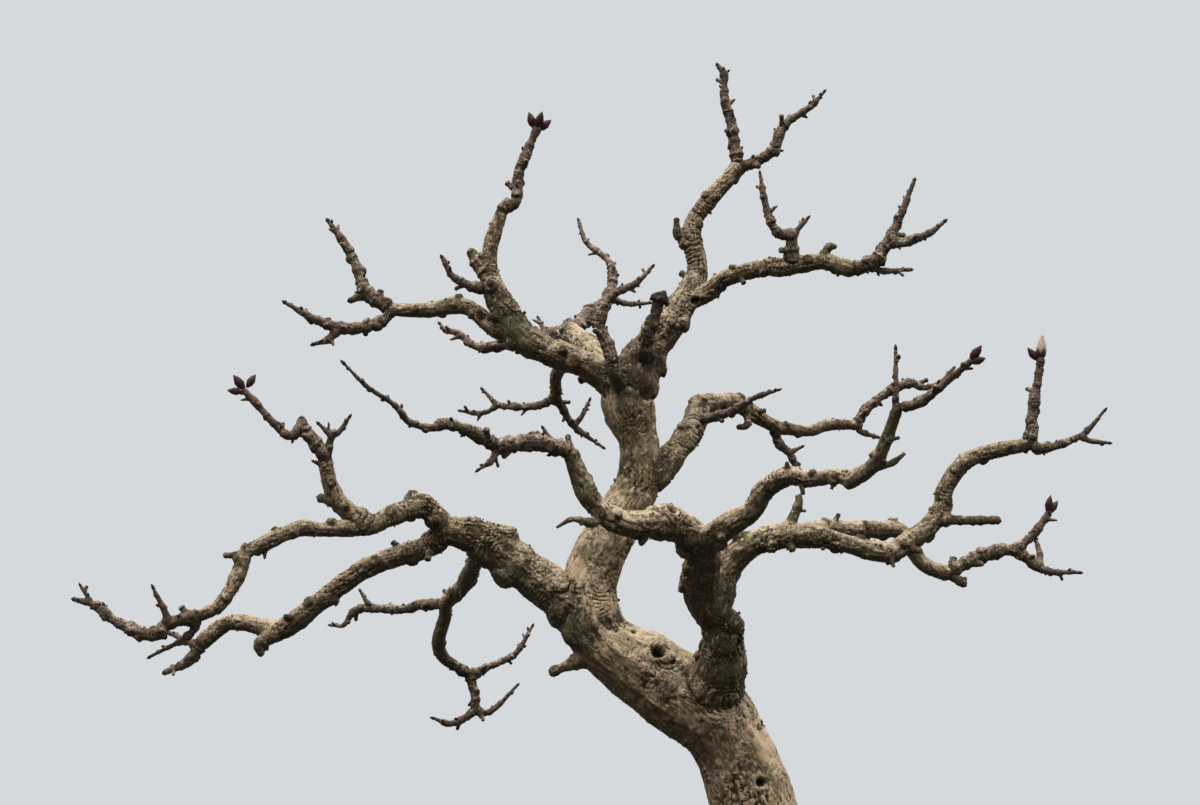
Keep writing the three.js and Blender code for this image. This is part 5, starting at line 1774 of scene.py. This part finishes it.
class TREE_OT_buds(bpy.types.Operator):
    """Set the small buds along the twigs, the large scaly ones at their tips and the downy one"""

    bl_idname = "tree.buds"
    bl_label = "Buds"

    def execute(self, context):
        copies("small_buds", scaly_bud(8, 6), small_buds(), "dark_bud_scales")
        scaly, (root, axes, (width, _, length)) = large_buds()
        large, ahead = scaly_bud(24, 22), axes[:, 2]
        copies("scaly_buds", large, scaly, "dark_bud_scales")
        downy = (DOWNY_WIDTH * width, DOWNY_WIDTH * width, length)
        copies("downy_bud", large, [(root, axes, downy)], "pale_down")
        cups = []
        for i in range(CUPS):
            way = turned(turned(ahead, axes[:, 0], CUP_LEAN), ahead, 360 / CUPS * i)
            across, deep, tall = CUP_SIZE
            cups.append((root, frame_for(way, CUP_TURN * i), (across * width, deep * width, tall * length)))
        copies("cup_scales", scaly_bud(12, 10), cups, "dark_bud_scales")
        random = np.random.default_rng(3)
        hairs = []
        for _ in range(HAIRS):
            up, angle = random.uniform(*HAIR_PLACE), random.uniform(0, 2 * math.pi)
            spread = DOWNY_WIDTH / 2 * width * np.interp(up, *zip(*BUD_PROFILE))
            out = axes @ np.array([math.cos(angle), math.sin(angle), 0])
            way = out + ahead * random.uniform(*HAIR_LEAN)
            spot = root + ahead * up * length + out * spread
            hairs.append((spot, frame_for(way, 0), (HAIR_WIDTH, HAIR_WIDTH, random.uniform(*HAIR_LENGTH))))
        copies("down_hairs", hair(), hairs, "pale_down", flat=True)
        return {"FINISHED"}


class TREE_OT_flakes(bpy.types.Operator):
    """Lay loose flakes of bark on the trunk and the thicker boughs"""

    bl_idname = "tree.flakes"
    bl_label = "Bark Flakes"

    def execute(self, context):
        flake = bark_flake()
        copies("trunk_flakes", flake, flake_places("trunk", "trunk"), "old_cracked_bark")
        copies("bough_flakes", flake, flake_places("bough", "boughs"), "ringed_bark")
        return {"FINISHED"}


class TREE_OT_stage(bpy.types.Operator):
    """Set the pale floor, the soft light and the camera"""

    bl_idname = "tree.stage"
    bl_label = "Stage"

    def execute(self, context):
        add_floor()
        add_light()
        add_camera()
        return {"FINISHED"}


def add_floor():
    """A painted board: matt and nearly even, so that it gives the eye nothing to rest on."""
    clear_selection()
    bpy.ops.mesh.primitive_circle_add(
        vertices=96, radius=FLOOR_RADIUS, fill_type="NGON", location=(0, 0, -FLOOR_DROP)
    )
    floor = bpy.context.object
    floor.name = "studio_floor"
    floor.visible_diffuse = False
    material, tree, shader = new_material("matt_studio_floor", 0.9)
    pale = colours().floor
    patches = {
        "Vector": node(tree, "TexCoord").outputs["Object"], "Scale": per_mm(60), "Detail": 3,
        "Roughness": 0.6,
    }
    shares = {SHARE: node(tree, "TexNoise", patches).outputs["Fac"], UNDER: tuple(0.94 * c for c in pale)}
    colour = node(tree, "Mix", {**shares, OVER: pale}, data_type="RGBA").outputs[MIXED]
    tree.links.new(colour, shader.inputs["Base Color"])
    floor.data.materials.append(material)
    floor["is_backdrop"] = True


def add_light():
    """Overcast light: bright above, faint below, with a large soft lamp over the viewer's left shoulder."""
    world = bpy.data.worlds.new("soft_studio")
    bpy.context.scene.world = world
    world.use_nodes = True
    tree = world.node_tree
    tree.nodes.clear()
    up = node(tree, "SeparateXYZ", {0: node(tree, "TexCoord").outputs["Generated"]}).outputs["Z"]
    height = node(
        tree, "MapRange", {"Value": up, "From Min": -0.25, "From Max": 0.9}, interpolation_type="SMOOTHSTEP"
    )
    glow = node(tree, "ValToRGB", {"Fac": height.outputs["Result"]}, SKY_STOPS).outputs["Color"]
    light = node(tree, "Background", {"Color": glow, "Strength": SKY_STRENGTH}).outputs[0]
    pale = node(tree, "Background", {"Color": colours().backdrop}).outputs[0]
    seen = node(tree, "LightPath").outputs["Is Camera Ray"]
    both = node(tree, "MixShader", {0: seen, 1: light, 2: pale}).outputs[0]
    node(tree, "OutputWorld", {"Surface": both})
    bpy.ops.object.light_add(type="AREA", location=LAMP_PLACE)
    lamp = bpy.context.object
    lamp.name = "soft_lamp"
    lamp.data.shape, lamp.data.size, lamp.data.energy = "DISK", LAMP_SIZE, LAMP_POWER
    lamp.rotation_euler = (Vector(LOOK_AT) - lamp.location).to_track_quat("-Z", "Y").to_euler()


def add_camera():
    """The photograph's view: from a little under the crown, looking up ten degrees."""
    back = Vector((0, -math.cos(CAMERA_PITCH), -math.sin(CAMERA_PITCH))) * CAMERA_DISTANCE
    bpy.ops.object.camera_add(
        location=Vector(LOOK_AT) + back, rotation=(math.pi / 2 + CAMERA_PITCH, 0, 0)
    )
    camera = bpy.context.object
    camera.data.lens, camera.data.sensor_width = sizes().focal_length, SENSOR_WIDTH
    bpy.context.scene.camera = camera
    bpy.context.scene.view_settings.view_transform = "Standard"


OPERATORS = (
    TREE_OT_stage, TREE_OT_trunk, TREE_OT_boughs, TREE_OT_dead_stub, TREE_OT_twigs, TREE_OT_buds,
    TREE_OT_flakes,
)


class TREE_PT_panel(bpy.types.Panel):
    """The tree's pieces, colours and sizes"""

    bl_idname = "TREE_PT_panel"
    bl_label = "Bare Dwarf Tree"
    bl_space_type = "VIEW_3D"
    bl_region_type = "UI"
    bl_category = "Tree"

    def draw(self, context):
        for operator in OPERATORS:
            self.layout.operator(operator.bl_idname)
        for group in (context.scene.tree_sizes, context.scene.tree_colours):
            for key in group.bl_rna.properties.keys():
                if key not in ("rna_type", "name"):
                    self.layout.prop(group, key)


CLASSES = (TreeSizes, TreeColours, *OPERATORS, TREE_PT_panel)


def register():
    for cls in CLASSES:
        bpy.utils.register_class(cls)
    bpy.types.Scene.tree_sizes = bpy.props.PointerProperty(type=TreeSizes)
    bpy.types.Scene.tree_colours = bpy.props.PointerProperty(type=TreeColours)


def unregister():
    del bpy.types.Scene.tree_colours
    del bpy.types.Scene.tree_sizes
    for cls in reversed(CLASSES):
        bpy.utils.unregister_class(cls)


def main():
    register()
    bpy.ops.tree.stage()
    bpy.ops.tree.trunk()
    bpy.ops.tree.boughs()
    bpy.ops.tree.dead_stub()
    bpy.ops.tree.twigs()
    bpy.ops.tree.buds()
    bpy.ops.tree.flakes()
    boxes = {"cad": CAD_BOX, "visual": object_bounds()}
    {key: [list(corner) for corner in box] for key, box in boxes.items()}


if __name__ == "__main__":
    main()
